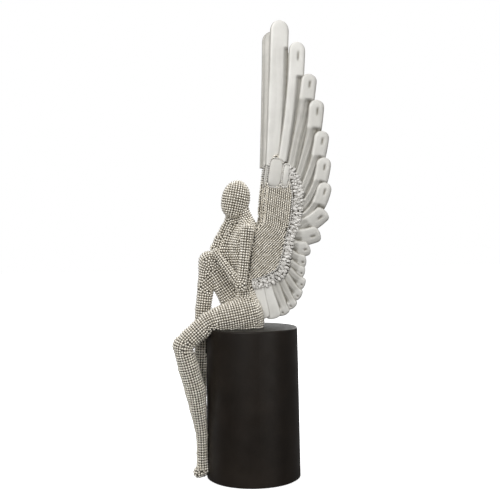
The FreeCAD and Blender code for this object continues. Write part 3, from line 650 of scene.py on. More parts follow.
def plain_metal(name, low, high, roughness):
    material, nodes, links, shader = surface(name, 0.9, roughness)
    tone = ramp(nodes, links, noise(nodes, links, 220.0), ((0.3, low), (0.7, high)))
    links.new(tone, shader.inputs["Base Color"])
    links.new(spread(nodes, links, noise(nodes, links, 500.0), roughness - 0.08, roughness + 0.1),
              shader.inputs["Roughness"])
    return material


def felt_cloth():
    material, nodes, links, shader = surface("felt_cloth", 0.0, 0.95)
    shader.inputs["Sheen Weight"].default_value = 0.4
    fibres = noise(nodes, links, 1800.0, 8.0)
    links.new(ramp(nodes, links, fibres, ((0.3, (0.012, 0.012, 0.012)), (0.7, (0.05, 0.05, 0.05)))),
              shader.inputs["Base Color"])
    bump(nodes, links, shader, fibres, 0.6, 0.0006)
    return material


def bottom_board():
    material, nodes, links, shader = surface("bottom_board", 0.0, 0.7)
    grain = noise(nodes, links, 90.0, 6.0, (1.0, 8.0, 1.0))
    links.new(ramp(nodes, links, grain, ((0.3, (0.05, 0.035, 0.022)), (0.7, (0.11, 0.08, 0.05)))),
              shader.inputs["Base Color"])
    bump(nodes, links, shader, grain, 0.3, 0.0004)
    return material


def studio_floor_white():
    """White paper, lit from behind, so that it stays as pale at the horizon as it is close by."""
    material, nodes, links, shader = surface("studio_white", 0.0, 0.9)
    links.new(ramp(nodes, links, noise(nodes, links, 3.0), ((0.3, (0.90, 0.90, 0.90)),
                                                          (0.7, (0.93, 0.93, 0.93)))),
              shader.inputs["Base Color"])
    shader.inputs["Emission Color"].default_value = (1.0, 1.0, 1.0, 1.0)
    shader.inputs["Emission Strength"].default_value = 0.72
    return material


# ---------------------------------------------------------------- the beaded figure

def path_of(name):
    """Axis that the rings of beads follow: the limb's joints with their corners rounded."""
    if name == "torso":
        return np.array([(0.0, centre, height) for height, centre, _, _ in TORSO_CURVE])
    if name == "head":
        axis = np.array((0.0, -math.sin(HEAD_TIP), math.cos(HEAD_TIP)))
        return np.array([np.array(HEAD_CENTRE) + axis * share * HEAD_HALF[2]
                         for share in np.linspace(-0.98, 0.98, 60)])
    joints = [np.array(JOINTS[LIMBS[name][0][0]])]
    joints += [np.array(JOINTS[end]) for _, end, _ in LIMBS[name]]
    first = joints[0] - joints[1]
    joints[0] = joints[0] + first / np.linalg.norm(first) * LIMB_START[name]
    line = [joints[0]]
    for before, corner, after in zip(joints, joints[1:], joints[2:]):
        reach = 0.3 * min(np.linalg.norm(corner - before), np.linalg.norm(after - corner))
        first = corner + (before - corner) / np.linalg.norm(before - corner) * reach
        last = corner + (after - corner) / np.linalg.norm(after - corner) * reach
        for t in np.linspace(0.0, 1.0, 14):
            line.append(first * (1 - t) ** 2 + corner * 2 * t * (1 - t) + last * t * t)
    line.append(joints[-1])
    return np.array(line)


def evenly(line, step):
    """Points and directions at equal steps along a polyline."""
    gaps = np.linalg.norm(np.diff(line, axis=0), axis=1)
    travel = np.concatenate([[0.0], np.cumsum(gaps)])
    marks = np.arange(step / 2, travel[-1], step)
    points = np.stack([np.interp(marks, travel, line[:, axis]) for axis in range(3)], axis=1)
    ahead = np.stack([np.interp(marks + 1.0, travel, line[:, axis]) for axis in range(3)], axis=1)
    behind = np.stack([np.interp(marks - 1.0, travel, line[:, axis]) for axis in range(3)], axis=1)
    heading = ahead - behind
    return points, heading / np.linalg.norm(heading, axis=1, keepdims=True)


RAYS = 60
RING_STEP = 1.0                     # spacing of the surveyed rings along a part's axis
LIMB_START = {"left_leg": 14.0, "right_leg": 14.0, "left_arm": 5.0, "right_arm": 5.0}
LIMB_REACH = {"torso": 32.0, "left_leg": 24.0, "right_leg": 24.0, "left_arm": 11.0,
              "right_arm": 11.0, "head": 26.0}
ROW_ANCHOR = {"torso": (0.0, -1.0, 0.0), "left_leg": (1.0, 0.0, 0.0), "right_leg": (1.0, 0.0, 0.0),
              "left_arm": (1.0, -0.3, 0.0), "right_arm": (1.0, 0.0, 0.0), "head": (1.0, 0.0, 0.0)}


def survey_rings(name, distance):
    """Closed rings of surface points round a part's axis, found by marching outwards."""
    centres, headings = evenly(path_of(name), RING_STEP)
    anchor = np.array(ROW_ANCHOR[name])
    first = anchor - headings * (headings @ anchor)[:, None]
    first /= np.linalg.norm(first, axis=1, keepdims=True)
    second = np.cross(headings, first)
    turns = np.linspace(-math.pi, math.pi, RAYS + 1)
    rays = (np.cos(turns)[None, :, None] * first[:, None, :]
            + np.sin(turns)[None, :, None] * second[:, None, :])
    starts = np.repeat(centres[:, None, :], RAYS + 1, axis=1).reshape(-1, 3)
    flat = rays.reshape(-1, 3)
    near = np.zeros(len(flat))
    far = np.full(len(flat), LIMB_REACH[name])
    step = 2.0
    found = distance(starts) > 0
    for walk in np.arange(step, LIMB_REACH[name], step):
        value = distance(starts + flat * walk)
        crossed = (value > 0) & ~found
        far[crossed] = walk
        near[crossed] = walk - step
        found |= crossed
    for _ in range(8):
        middle = (near + far) / 2
        inside = distance(starts + flat * middle[:, None]) < 0
        near = np.where(inside, middle, near)
        far = np.where(inside, far, middle)
    return (starts + flat * ((near + far) / 2)[:, None]).reshape(len(centres), RAYS + 1, 3)


def bead_rows(name, distance):
    """Places in rows along a part. The rings follow each other at even steps along the surface, and
    each ring is counted both ways from the anchor direction, so that its beads continue the rows."""
    rings = survey_rings(name, distance)
    gaps = np.linalg.norm(np.diff(rings, axis=0), axis=2)
    travel = np.concatenate([[0.0], np.cumsum(np.percentile(gaps, 80, axis=1))])
    zero = RAYS // 2
    places = []
    for mark in np.arange(BEAD_PITCH / 2, travel[-1], BEAD_PITCH):
        at = np.interp(mark, travel, np.arange(len(rings)))
        low = min(int(at), len(rings) - 2)
        ring = rings[low] * (low + 1 - at) + rings[low + 1] * (at - low)
        steps = np.linalg.norm(np.diff(ring, axis=0), axis=1)
        round_trip = np.concatenate([[0.0], np.cumsum(steps)]) - steps[:zero].sum()
        first = math.ceil(round_trip[0] / BEAD_PITCH)
        last = math.floor(round_trip[-1] / BEAD_PITCH)
        counts = np.arange(first, last + 1)
        for count in counts[np.argsort(np.abs(counts))]:
            places.append([np.interp(count * BEAD_PITCH, round_trip, ring[:, axis])
                           for axis in range(3)])
    return np.array(places)


def eased_apart(places, distance, rounds):
    """Push beads that crowd each other a little further apart, along the surface."""
    reach = BEAD_PITCH * 1.06
    for _ in range(rounds):
        tree = KDTree(len(places))
        for index, place in enumerate(places):
            tree.insert(place, index)
        tree.balance()
        push = np.zeros_like(places)
        for index, place in enumerate(places):
            for other, number, gap in tree.find_range(place, reach):
                if number != index and gap > 0:
                    push[index] += (place - np.array(other)) / gap * (reach - gap)
        places = onto_surface(distance, places + push * 0.22, 1)
    return places


def bead_sizes(places):
    """Radius of each bead: half of the mean distance to its four nearest neighbours."""
    tree = KDTree(len(places))
    for index, place in enumerate(places):
        tree.insert(place, index)
    tree.balance()
    gaps = np.array([[gap for _, _, gap in tree.find_n(place, 5)[1:]] for place in places])
    return np.clip(gaps.mean(1) * 0.5, BEAD_RADIUS * 0.9, BEAD_RADIUS * 1.16)


def bead_places():
    """Bead rows of the figure: places, the part that each belongs to and the skin's distance."""
    names = [name for name, blend in FIGURE_PARTS]

    def skin(points):
        return figure_distance(points) + SKIN_INSET

    accepted = np.empty((0, 3))
    owners = np.empty(0, int)
    for index in (1, 2, 3, 4, 5, 0):
        places = onto_surface(skin, bead_rows(names[index], skin), 1)
        owner = part_distances(places).argmin(0)
        clear = (owner == index) & (base_distance(places) > 0.4) & (np.abs(skin(places)) < 0.2)
        places = places[clear]
        chosen = spread_evenly(places, accepted, BEAD_PITCH * 0.8)
        accepted = np.vstack([accepted, places[chosen]])
        owners = np.concatenate([owners, np.full(len(chosen), index)])
    return accepted, owners, skin


def build_figure(materials, rng):
    names = [name for name, blend in FIGURE_PARTS]
    places, owners, skin = bead_places()
    for index, name in enumerate(names):
        low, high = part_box(name)
        low = np.array(low) / MM - 5.0
        high = np.array(high) / MM + 5.0

        def casting(points, index=index):
            rows = part_distances(points)
            others = np.delete(rows, index, axis=0).min(0)
            whole = np.maximum(blended(rows) + SKIN_INSET, (rows[index] - others) / 2 - SEAM_OVERLAP)
            return np.maximum(whole, -base_distance(points))

        points, faces = skin_mesh(casting, low, high)
        make_piece(name + "_skin", points, faces, materials["skin"], (name,))
        loose = points[rng.permutation(len(points))]
        loose = onto_surface(skin, loose, 2)
        fits = (part_distances(loose).argmin(0) == index) & (base_distance(loose) > 0.4)
        loose = loose[fits & (np.abs(skin(loose)) < 0.2)]
        extra = spread_evenly(loose, places, BEAD_PITCH * 0.8)
        places = np.vstack([places, loose[extra]])
        owners = np.concatenate([owners, np.full(len(extra), index)])
    places = eased_apart(places, skin, 5)
    standing = base_distance(places) > 0.2
    places, owners = places[standing], owners[standing]
    normals = normals_of(skin, places)
    sizes = bead_sizes(places)
    for index, name in enumerate(names):
        mine = owners == index
        print(name, "beads", int(mine.sum()))
        scatter_beads(name + "_beads", places[mine], normals[mine], sizes[mine], materials["bead"],
                      rng)


# ---------------------------------------------------------------- wings

def wing_axes():
    back = np.array((WING_FLARE, 1.0, 0.0))
    outward = np.array((1.0, -WING_FLARE, -WING_TILT))
    back /= np.linalg.norm(back)
    outward /= np.linalg.norm(outward)
    return back, np.cross(outward, back), outward


WING_BACK, WING_UP, WING_OUT = wing_axes()


def from_wing(local, side):
    """Points in the wing's own frame to the row's frame; side is 1 for the left wing, -1 for the
    right one, which is its mirror image."""
    points = (WING_ORIGIN + local[:, :1] * WING_BACK + local[:, 1:2] * WING_UP
              + local[:, 2:] * WING_OUT)
    points[:, 0] *= side
    return points


def directions_from_wing(local, side):
    points = local[:, :1] * WING_BACK + local[:, 1:2] * WING_UP + local[:, 2:] * WING_OUT
    points[:, 0] *= side
    return points


ARM_OUTLINE = through_points(WING_ARM_OUTLINE, 5, closed=True)
CRYSTAL_CURVE = through_points(CRYSTAL_LINE, 8)


def outline_distance(flat, outline):
    """Distance in the plane to a closed run of straight lines; negative inside it."""
    best = np.full(len(flat), 1e9)
    inside = np.zeros(len(flat), bool)
    for start, end in zip(outline, np.roll(outline, -1, axis=0)):
        along = end - start
        offset = flat - start
        share = np.clip(offset @ along / (along @ along), 0.0, 1.0)
        best = np.minimum(best, np.linalg.norm(offset - share[:, None] * along, axis=1))
        crosses = (start[1] > flat[:, 1]) != (end[1] > flat[:, 1])
        if abs(along[1]) > 1e-9:
            at = start[0] + (flat[:, 1] - start[1]) / along[1] * along[0]
            inside ^= crosses & (flat[:, 0] < at)
    return np.where(inside, -best, best)


def arm_distance(local):
    """Distance to the wing arm in the wing's frame: a rounded plate that swells in the middle."""
    edge = outline_distance(local[:, :2], ARM_OUTLINE)
    half = WING_ARM_HALF - 1.2 + WING_ARM_BULGE * smoothstep(0.0, 22.0, -edge)
    rim = 3.0
    across = np.maximum(edge + rim, 0.0)
    over = np.maximum(np.abs(local[:, 2]) - half + rim, 0.0)
    inner = np.minimum(np.maximum(edge + rim, np.abs(local[:, 2]) - half + rim), 0.0)
    return np.hypot(across, over) + inner - rim


def panel_share(flat, panel, margin=0.0):
    """How far out from a covert panel's centre points are: 1 on its edge."""
    p, q, half_width, half_length, lean = panel
    turn = math.radians(lean)
    offset = flat - np.array((p, q))
    across = offset[:, 0] * math.cos(turn) + offset[:, 1] * math.sin(turn)
    along = -offset[:, 0] * math.sin(turn) + offset[:, 1] * math.cos(turn)
    power = 3.2
    return (np.abs(across / (half_width + margin)) ** power
            + np.abs(along / (half_length + margin)) ** power) ** (1 / power)


ROW_GAP = 2.45                      # between neighbouring bead rows of the wing arm
ROW_PITCH = 1.95                    # along a row


def wing_row_places():
    """Bead rows of the wing arm, each one line: down the arm, round the notch in an arc, and then
    down at a slant to the body. All rows keep one distance from each other."""
    upper = np.array((0.12, 1.0))
    upper /= np.linalg.norm(upper)
    lower = np.array((-1.0, -1.0)) / math.sqrt(2)
    upper_side = np.array((upper[1], -upper[0]))
    lower_side = np.array((-lower[1], lower[0]))
    turn_start = math.atan2(upper_side[1], upper_side[0])
    turn_end = math.atan2(lower_side[1], lower_side[0])
    places = []
    for number in range(-8, 36):
        gap = (number + 0.5) * ROW_GAP
        corner = np.array(NOTCH)
        line = [corner + upper_side * gap + upper * 100.0]
        if gap > 0:
            for turn in np.linspace(turn_start, turn_end, 12):
                line.append(corner + gap * np.array((math.cos(turn), math.sin(turn))))
        line.append(corner + lower_side * gap + lower * 110.0)
        line = np.array(line)
        steps = np.linalg.norm(np.diff(line, axis=0), axis=1)
        travel = np.concatenate([[0.0], np.cumsum(steps)])
        marks = np.arange((number % 2) * ROW_PITCH / 2, travel[-1], ROW_PITCH)
        places.append(np.column_stack([np.interp(marks, travel, line[:, axis]) for axis in (0, 1)]))
    return np.vstack(places)


def band_offset(flat):
    """Offset of points from the crystal line, outwards, and how far along the line they are (0-1)."""
    gaps = np.linalg.norm(flat[:, None, :] - CRYSTAL_CURVE[None, :, :], axis=2)
    nearest = np.clip(gaps.argmin(1), 1, len(CRYSTAL_CURVE) - 2)
    along = CRYSTAL_CURVE[nearest + 1] - CRYSTAL_CURVE[nearest - 1]
    along /= np.linalg.norm(along, axis=1, keepdims=True)
    offset = flat - CRYSTAL_CURVE[nearest]
    return along[:, 0] * offset[:, 1] - along[:, 1] * offset[:, 0], nearest / len(CRYSTAL_CURVE)


def wing_bead_zone(flat):
    """True where the wing arm is covered in beads."""
    offset, share = band_offset(flat)
    zone = offset < -np.interp(share, *zip(*BAND_INNER)) - 0.6
    for panel in COVERT_PANELS:
        zone &= panel_share(flat, panel, 0.6) > 1.0
    zone &= (flat[:, 1] < 62.0) | (flat[:, 0] < 44.0)
    return zone


def wing_beads(side_name, side, materials, rng):
    flat = wing_row_places()
    flat = flat[outline_distance(flat, ARM_OUTLINE) < -0.3]
    places = np.empty((0, 3))
    for face in (1.0, -1.0):
        local = np.column_stack([flat, np.full(len(flat), face * 5.0)])
        local = onto_surface(arm_distance, local, 3)
        local = local[wing_bead_zone(local[:, :2]) & (np.abs(arm_distance(local)) < 0.2)]
        chosen = spread_evenly(local, places, ROW_PITCH * 0.8)
        places = np.vstack([places, local[chosen]])
    low = ARM_OUTLINE.min(0) - 1.0
    high = ARM_OUTLINE.max(0) + 1.0
    loose = rng.uniform((*low, -8.0), (*high, 8.0), (90000, 3))
    loose = onto_surface(arm_distance, loose[np.abs(arm_distance(loose)) < 2.0], 3)
    loose = loose[wing_bead_zone(loose[:, :2]) & (np.abs(arm_distance(loose)) < 0.15)]
    extra = spread_evenly(loose, places, ROW_PITCH * 0.95)
    places = np.vstack([places, loose[extra]])
    world = from_wing(places, side)
    normals = directions_from_wing(normals_of(arm_distance, places), side)
    clear = part_distances(world).min(0) > 0.3
    print(side_name, "wing beads", int(clear.sum()))
    radii = np.full(int(clear.sum()), ROW_GAP * 0.47)
    scatter_beads(side_name + "_wing_beads", world[clear], normals[clear], radii,
                  materials["bead"], rng)


def wing_arm(side_name, side, materials):
    low = np.array((*ARM_OUTLINE.min(0) - 3.0, -9.0))
    high = np.array((*ARM_OUTLINE.max(0) + 3.0, 9.0))

    def clear_of_figure(local):
        return np.maximum(arm_distance(local) + 0.2, -figure_distance(from_wing(local, 1)) - 2.0)

    points, faces = skin_mesh(clear_of_figure, low, high)
    points = from_wing(points, side)
    faces = facing_out(points, faces)
    make_piece(side_name + "_wing_arm_skin", points, faces, materials["skin"],
               (side_name + "_wing_arm",))


def feather_sections(root, bend, tip, half_width, roundness, root_share):
    """Stations along a feather: centre, direction, half width, distance from the root and distance
    left to the tip. They lie closer together at the tip."""
    root, bend, tip = (np.array(point, float) for point in (root, bend, tip))
    length = np.linalg.norm(bend - root) + np.linalg.norm(tip - bend)
    round_end = roundness * half_width
    body = np.linspace(0.0, 1.0 - round_end / length, int(length / STATION_STEP))[:-1]
    end = 1.0 - round_end / length * (1 - np.sin(np.linspace(0.0, math.pi / 2, 14)))
    share = np.concatenate([body, end])[:, None]
    centre = root * (1 - share) ** 2 + bend * 2 * share * (1 - share) + tip * share ** 2
    heading = (bend - root) * 2 * (1 - share) + (tip - bend) * 2 * share
    heading /= np.linalg.norm(heading, axis=1, keepdims=True)
    travel = np.concatenate([[0.0], np.cumsum(np.linalg.norm(np.diff(centre, axis=0), axis=1))])
    left = travel[-1] - travel
    width = half_width * (root_share + (1 - root_share) * smoothstep(0.0, 0.75, share[:, 0]))
    closing = 1 - (1 - np.clip(left / round_end, 0.0, 1.0)) ** 2.3
    return centre, heading, width * np.clip(closing, 0.02, 1.0) ** 0.5, travel, left


def pad_profile(across, power):
    """Height of a rounded pad across a width of -1 to 1; a higher power has a flatter top."""
    return np.clip(1 - np.abs(across) ** power, 0.0, 1.0) ** 0.5


def feather_relief(name, grid, travel, left):
    """Height of a feather's outer face, and the darkness of its patina and painted shade, over its width
    and length.
    At the tip it is one rounded pad; below that, a rib beside a hollow, both with soft ridges that
    flow along the feather."""
    kind, root, bend, tip, half_width, pad_length, rib_share = FEATHERS[name]
    roundness, depth, rib_left, height, power, root_share, ridge = FEATHER_KINDS[kind]
    pad = 1.0 - smoothstep(pad_length - 1.2, pad_length + 2.8, left)
    beyond = np.maximum(left - pad_length, 0.0)
    keep = rib_left + (1 - rib_left) * np.exp(-beyond / 14.0)
    middle = -1.0 + rib_share
    edge = 2 * rib_share - 1.0
    rib = height * keep * pad_profile(np.clip((grid - middle) / rib_share, -1.0, 1.0), power)
    hollow = smoothstep(edge - 0.10, edge + 0.22, grid) if rib_share < 1 else np.zeros_like(grid)
    flow = grid * 1.7 + 0.22 * np.sin(travel / 17.0)
    ridges = ridge * (np.cos(2 * math.pi * flow) + 0.45 * np.cos(2 * math.pi * (2.3 * flow + 0.3)))
    under_pad = np.exp(-beyond / 7.0)
    below = rib * (1 - hollow) - hollow * depth * (0.55 + 0.45 * under_pad) + ridges
    above = height * 1.05 * pad_profile(grid, power) + ridges * 0.25
    slot_along = (left - pad_length * 0.42) / (pad_length * 0.14)
    slot = np.exp(-((grid - 0.15) / 0.13) ** 2) * np.exp(-slot_along ** 4)
    slot = slot * (0.0 if name in WITHOUT_SLOT else 1.0)
    valley = np.clip(-ridges / (ridge * 1.45), 0.0, 1.0)
    in_hollow, painted_shadow_under_pad, in_valley, on_field, on_pad = PATINA_AND_PAINTED_SHADE[kind]
    # painted shade along both sides of the feather, where its faces turn away from the light
    rim = smoothstep(0.80, 0.98, np.abs(grid))
    # in the hollow just under the pad a painted shadow lies on top of the patina
    shade = hollow * (in_hollow + painted_shadow_under_pad * under_pad) + valley * in_valley + on_field
    patina_and_painted_shade = shade * (1 - pad) + on_pad * pad + slot * 0.95 + rim * PAINTED_EDGE_SHADE
    return below * (1 - pad) + above * pad - slot * 1.2, np.clip(patina_and_painted_shade, 0.0, 1.0)


def feather_mesh(name):
    """Feather in the wing's frame: corners, faces and the darkness of the patina and painted shade at each
    corner.
    """
    kind, root, bend, tip, half_width, pad_length, rib_share = FEATHERS[name]
    roundness, depth, rib_left, height, power, root_share, ridge = FEATHER_KINDS[kind]
    centre, heading, width, travel, left = feather_sections(root, bend, tip, half_width, roundness,
                                                            root_share)
    side = np.stack([heading[:, 1], -heading[:, 0]], axis=1)
    grid = -np.cos(np.linspace(0.0, math.pi, ACROSS_STEPS + 1))[None, :]
    outer, patina_and_painted_shade = feather_relief(name, grid, travel[:, None], left[:, None])
    scale = np.clip(width / half_width, 0.25, 1.0)[:, None] ** 0.8
    outer = outer * np.where(left[:, None] < pad_length, scale, 1.0)
    inner = -(FEATHER_BACK + 1.4 * pad_profile(grid, 2.4) * scale) + 0.4 * np.cos(grid * math.pi * 3)
    inner = np.minimum(inner, outer - 0.8 * scale)
    tilt = -FEATHER_TILT * grid * width[:, None]
    rows = len(centre)
    loop = 2 * (ACROSS_STEPS + 1)
    points = np.empty((rows, loop, 3))
    shade = np.zeros((rows, loop))
    for face, heights in enumerate((outer, inner)):
        order = slice(None) if face == 0 else slice(None, None, -1)
        columns = slice(face * (ACROSS_STEPS + 1), (face + 1) * (ACROSS_STEPS + 1))
        spots = centre[:, None, :] + side[:, None, :] * (grid * width[:, None])[:, :, None]
        points[:, columns, :2] = spots[:, order]
        points[:, columns, 2] = (heights + tilt)[:, order]
    shade[:, :ACROSS_STEPS + 1] = patina_and_painted_shade
    # the inner face gets the same painted shade all over
    shade[:, ACROSS_STEPS + 1:] = PAINTED_EDGE_SHADE
    points = points.reshape(-1, 3)
    return points, facing_out(points, tube_faces(rows, loop)), shade.ravel()


def build_feathers(side_name, side, materials):
    for name in FEATHERS:
        points, faces, shade = feather_mesh(name)
        world = from_wing(points, side)
        faces = faces if side > 0 else flipped(faces)
        node = "%s_%s_feather" % (side_name, name)
        make_piece(node + "_cast", world, faces, materials["feather"], (node,),
                   patina_and_painted_shade=shade)


def build_panels(side_name, side, materials):
    """Two smooth, slightly domed plates with rounded corners, on both faces of the wing arm."""
    points = []
    faces = []
    shade = []
    rings = 9
    sides = 48
    for p, q, half_width, half_length, lean in COVERT_PANELS:
        turn = math.radians(lean)
        for face in (1.0, -1.0):
            start = len(points)
            for ring in range(rings + 1):
                lift = math.pi / 2 * max(ring - 1, 0) / rings
                for number in range(sides):
                    angle = 2 * math.pi * number / sides
                    reach = (abs(math.cos(angle)) ** 4 + abs(math.sin(angle)) ** 4) ** -0.25
                    across = reach * math.cos(angle) * half_width * math.cos(lift)
                    along = reach * math.sin(angle) * half_length * math.cos(lift)
                    rise = PANEL_RIM + PANEL_DOME * math.sin(lift) if ring else 1.5
                    # painted shade: darkest at each plate's foot, where it meets the arm, and darker
                    # towards its rim; 0.20 is the plates' own darker tone
                    shade.append(0.75 if ring == 0 else 0.20 + 0.5 * (1 - math.sin(lift)) ** 3)
                    points.append((p + across * math.cos(turn) - along * math.sin(turn),
                                   q + across * math.sin(turn) + along * math.cos(turn),
                                   face * rise))
            cap = tube_faces(rings + 1, sides)
            cap = [tuple(corner + start for corner in item) for item in cap]
            faces += cap if face > 0 else flipped(cap)
    world = from_wing(np.array(points), side)
    faces = faces if side > 0 else flipped(faces)
    make_piece(side_name + "_covert_panels_cast", world, faces, materials["feather"],
               (side_name + "_covert_panels",),
               patina_and_painted_shade=shade)


def cut_stone(place, normal, along, length, width, height, sides):
    """Faceted stone: a deep girdle, a sloping crown and a flat table."""
    across = np.cross(normal, along)
    points = []
    for rise, share in ((-2.2, 0.9), (0.35 * height, 1.0), (height, 0.55)):
        for number in range(sides):
            turn = 2 * math.pi * (number + 0.5) / sides
            points.append(place + along * math.cos(turn) * length * share
                          + across * math.sin(turn) * width * share + normal * rise)
    return points, tube_faces(3, sides)


def crystal_spots(rng):
    """Stones of the crystal band: place, direction, half length and half width. A row of small round
    ones edges the bead rows; outside it large and small ones lie at random and may overlap a little."""
    gaps = np.linalg.norm(np.diff(CRYSTAL_CURVE, axis=0), axis=1)
    travel = np.concatenate([[0.0], np.cumsum(gaps)])
    stones = []

    def on_band(mark, offset):
        spot = np.array([np.interp(mark, travel, CRYSTAL_CURVE[:, axis]) for axis in (0, 1)])
        ahead = np.array([np.interp(mark + 1, travel, CRYSTAL_CURVE[:, axis]) for axis in (0, 1)])
        back = np.array([np.interp(mark - 1, travel, CRYSTAL_CURVE[:, axis]) for axis in (0, 1)])
        heading = (ahead - back) / np.linalg.norm(ahead - back)
        outward = np.array((-heading[1], heading[0]))
        return spot + outward * offset, outward

    for mark in np.arange(0.5, travel[-1], 2.2):
        inner = -np.interp(mark / travel[-1], *zip(*BAND_INNER)) + 0.5
        stones.append((*on_band(mark, inner), 1.15, 1.0))
    for length, width, tries in ((3.8, 2.2, 420), (2.5, 1.6, 900), (1.6, 1.2, 2200)):
        for _ in range(tries):
            mark = rng.uniform(0.0, travel[-1])
            share = mark / travel[-1]
            low = -np.interp(share, *zip(*BAND_INNER)) + 1.6 + length * 0.6
            high = np.interp(share, *zip(*BAND_OUTER)) - length * 0.5
            spot, outward = on_band(mark, rng.uniform(low, max(high, low + 0.1)))
            own_width = width * rng.uniform(0.85, 1.15)
            clear = all(np.linalg.norm(spot - other) > 0.42 * (length + width + size)
                        for other, _, size, _ in stones[-400:])
            if clear:
                stones.append((spot, outward, length * rng.uniform(0.8, 1.1), own_width))
    for p, q, half_width, half_length, lean in COVERT_PANELS:
        turn = math.radians(lean)
        for angle in np.linspace(0, 2 * math.pi, 46, endpoint=False):
            reach = (abs(math.cos(angle)) ** 4 + abs(math.sin(angle)) ** 4) ** -0.25
            across = reach * math.cos(angle) * (half_width + 0.9)
            along = reach * math.sin(angle) * (half_length + 0.9)
            spot = np.array((p + across * math.cos(turn) - along * math.sin(turn),
                             q + across * math.sin(turn) + along * math.cos(turn)))
            stones.append((spot, np.array((math.cos(angle), math.sin(angle))), 1.0, 0.95))
    return stones


def build_crystals(side_name, side, materials, rng):
    """The crystal band and the rows of small stones round the panels, on both faces of the wing."""
    points = []
    faces = []
    for face in (1.0, -1.0):
        stones = crystal_spots(rng)
        flat = np.array([spot for spot, _, _, _ in stones])
        edge = outline_distance(flat, ARM_OUTLINE)
        levels = WING_ARM_HALF - 1.0 + WING_ARM_BULGE * smoothstep(0.0, 22.0, -edge)
        for (spot, outward, length, width), level in zip(stones, levels):
            normal = np.array((0.0, 0.0, face)) + rng.uniform(-0.34, 0.34, 3)
            normal /= np.linalg.norm(normal)
            along = np.array((*outward, 0.0)) + rng.uniform(-0.35, 0.35, 3)
            along -= normal * (along @ normal)
            along /= np.linalg.norm(along)
            height = rng.uniform(0.9, 1.3) + 0.35 * length * rng.uniform(0.2, 1.0)
            stone, sides = cut_stone(np.array((*spot, face * level)), normal, along, length, width,
                                     height, int(rng.integers(5, 8)))
            start = len(points)
            points += stone
            faces += [tuple(corner + start for corner in item) for item in sides]
    world = from_wing(np.array(points), side)
    faces = faces if side > 0 else flipped(faces)
    make_piece(side_name + "_crystal_trim_stones", world, faces, materials["crystal"],
               (side_name + "_crystal_trim",), flat=True)


def build_wing(side_name, side, materials, rng):
    wing_arm(side_name, side, materials)
    wing_beads(side_name, side, materials, rng)
    build_panels(side_name, side, materials)
    build_crystals(side_name, side, materials, rng)
    build_feathers(side_name, side, materials)


# ---------------------------------------------------------------- base and studio

def dress_cad_nodes(materials):
    """Better materials for the CAD nodes that stay as they are."""
    finish_of = {
        "base_cylinder": "base", "base_bottom_plate": "board", "base_felt_pad": "felt",
        "bottom_plate_screws": "steel", "ballast_disc": "iron", "figure_tie_rod": "steel",
        "tie_rod_washer": "steel", "tie_rod_nut": "steel", "neck_dowel": "steel",
        "shoulder_dowels": "steel", "hip_dowels": "steel", "wing_pins": "steel",
    }
    for node, finish in finish_of.items():
        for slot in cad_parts[node].material_slots:
            slot.material = materials[finish]


def build_floor(materials):
    half = 6.0
    steps = 8
    line = np.linspace(-half, half, steps + 1)
    points = [(x, y, -0.0002) for y in line for x in line]
    faces = []
    for row in range(steps):
        for column in range(steps):
            start = row * (steps + 1) + column
            faces.append((start, start + 1, start + steps + 2, start + steps + 1))
    mesh = bpy.data.meshes.new("studio_floor")
    mesh.from_pydata(points, [], faces)
    mesh.materials.append(materials["floor"])
    floor = bpy.data.objects.new("studio_floor", mesh)
    floor.visible_diffuse = False      # the paper throws no light up onto the trophy
    floor.visible_glossy = False
    bpy.context.scene.collection.objects.link(floor)


def area_light(name, place, target, size, power):
    light = bpy.data.lights.new(name, "AREA")
    light.shape = "RECTANGLE"
    light.size, light.size_y = size
    light.energy = power
    lamp = bpy.data.objects.new(name, light)
    bpy.context.scene.collection.objects.link(lamp)
    place = np.array(place, float)
    away = place - np.array(target, float)
    away /= np.linalg.norm(away)
    across = np.cross((0.0, 0.0, 1.0), away)
    across /= np.linalg.norm(across)
    up = np.cross(away, across)
    lamp.matrix_world = Matrix([(*row, offset) for row, offset in
                                zip(np.column_stack([across, up, away]), place)] + [(0, 0, 0, 1)])


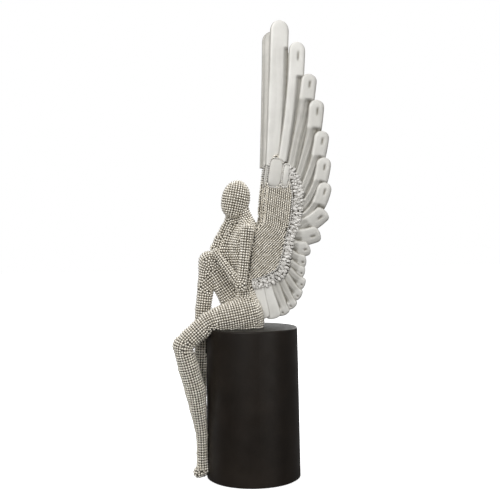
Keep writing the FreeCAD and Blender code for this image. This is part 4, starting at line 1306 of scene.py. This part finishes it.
def build_studio():
    """White surroundings and five lights: a key above and to the left of the camera, one on the side
    that the figure faces, a fill from the camera's right, one from the top and one from the back."""
    world = bpy.data.worlds.new("studio")
    bpy.context.scene.world = world
    world.use_nodes = True
    nodes = world.node_tree.nodes
    links = world.node_tree.links
    background = nodes["Background"]
    background.inputs["Color"].default_value = (0.80, 0.80, 0.80, 1.0)
    sky = nodes.new("ShaderNodeTexCoord")
    split = nodes.new("ShaderNodeSeparateXYZ")
    rise = nodes.new("ShaderNodeMapRange")
    rise.inputs["From Min"].default_value = -0.5
    rise.inputs["From Max"].default_value = 0.6
    rise.inputs["To Min"].default_value = SKY_BELOW
    rise.inputs["To Max"].default_value = SKY_ABOVE
    links.new(sky.outputs["Generated"], split.inputs["Vector"])
    links.new(split.outputs["Z"], rise.inputs["Value"])
    links.new(rise.outputs["Result"], background.inputs["Strength"])
    backdrop = nodes.new("ShaderNodeBackground")
    backdrop.inputs["Color"].default_value = (1.0, 1.0, 1.0, 1.0)
    backdrop.inputs["Strength"].default_value = 1.0
    path = nodes.new("ShaderNodeLightPath")
    choice = nodes.new("ShaderNodeMixShader")
    links.new(path.outputs["Is Camera Ray"], choice.inputs[0])
    links.new(background.outputs[0], choice.inputs[1])
    links.new(backdrop.outputs[0], choice.inputs[2])
    links.new(choice.outputs[0], nodes["World Output"].inputs["Surface"])
    for name, (place, size, power) in LIGHTS.items():
        area_light(name, place, LIGHT_TARGET, size, power)
    bpy.context.scene.view_settings.view_transform = "Standard"


def build_camera():
    data = bpy.data.cameras.new("camera")
    data.sensor_width = SENSOR
    data.lens = CAMERA_FOCAL * SENSOR
    data.shift_x, data.shift_y = CAMERA_SHIFT
    data.clip_end = 50.0
    camera = bpy.data.objects.new("camera", data)
    bpy.context.scene.collection.objects.link(camera)
    place = Matrix.Translation((math.sin(CAMERA_AZIMUTH) * CAMERA_DISTANCE * MM,
                                -math.cos(CAMERA_AZIMUTH) * CAMERA_DISTANCE * MM,
                                CAMERA_HEIGHT * MM))
    camera.matrix_world = (place @ Matrix.Rotation(CAMERA_AZIMUTH, 4, "Z")
                           @ Matrix.Rotation(math.pi / 2, 4, "X")
                           @ Matrix.Rotation(CAMERA_ROLL, 4, "Z"))
    bpy.context.scene.camera = camera


def all_materials():
    return {
        "bead": bead_silver(),
        "skin": antique_skin(),
        "feather": feather_silver(),
        "crystal": crystal_silver(),
        "base": base_black(),
        "steel": plain_metal("pin_steel", (0.42, 0.42, 0.43), (0.58, 0.58, 0.59), 0.35),
        "iron": plain_metal("ballast_iron", (0.10, 0.09, 0.085), (0.17, 0.155, 0.15), 0.6),
        "felt": felt_cloth(),
        "board": bottom_board(),
        "floor": studio_floor_white(),
    }


generator = np.random.default_rng(SEED)
finishes = all_materials()
build_camera()
build_studio()
build_floor(finishes)
dress_cad_nodes(finishes)
build_figure(finishes, generator)
for wing_name, wing_side in (("left", 1.0), ("right", -1.0)):
    build_wing(wing_name, wing_side, finishes, generator)
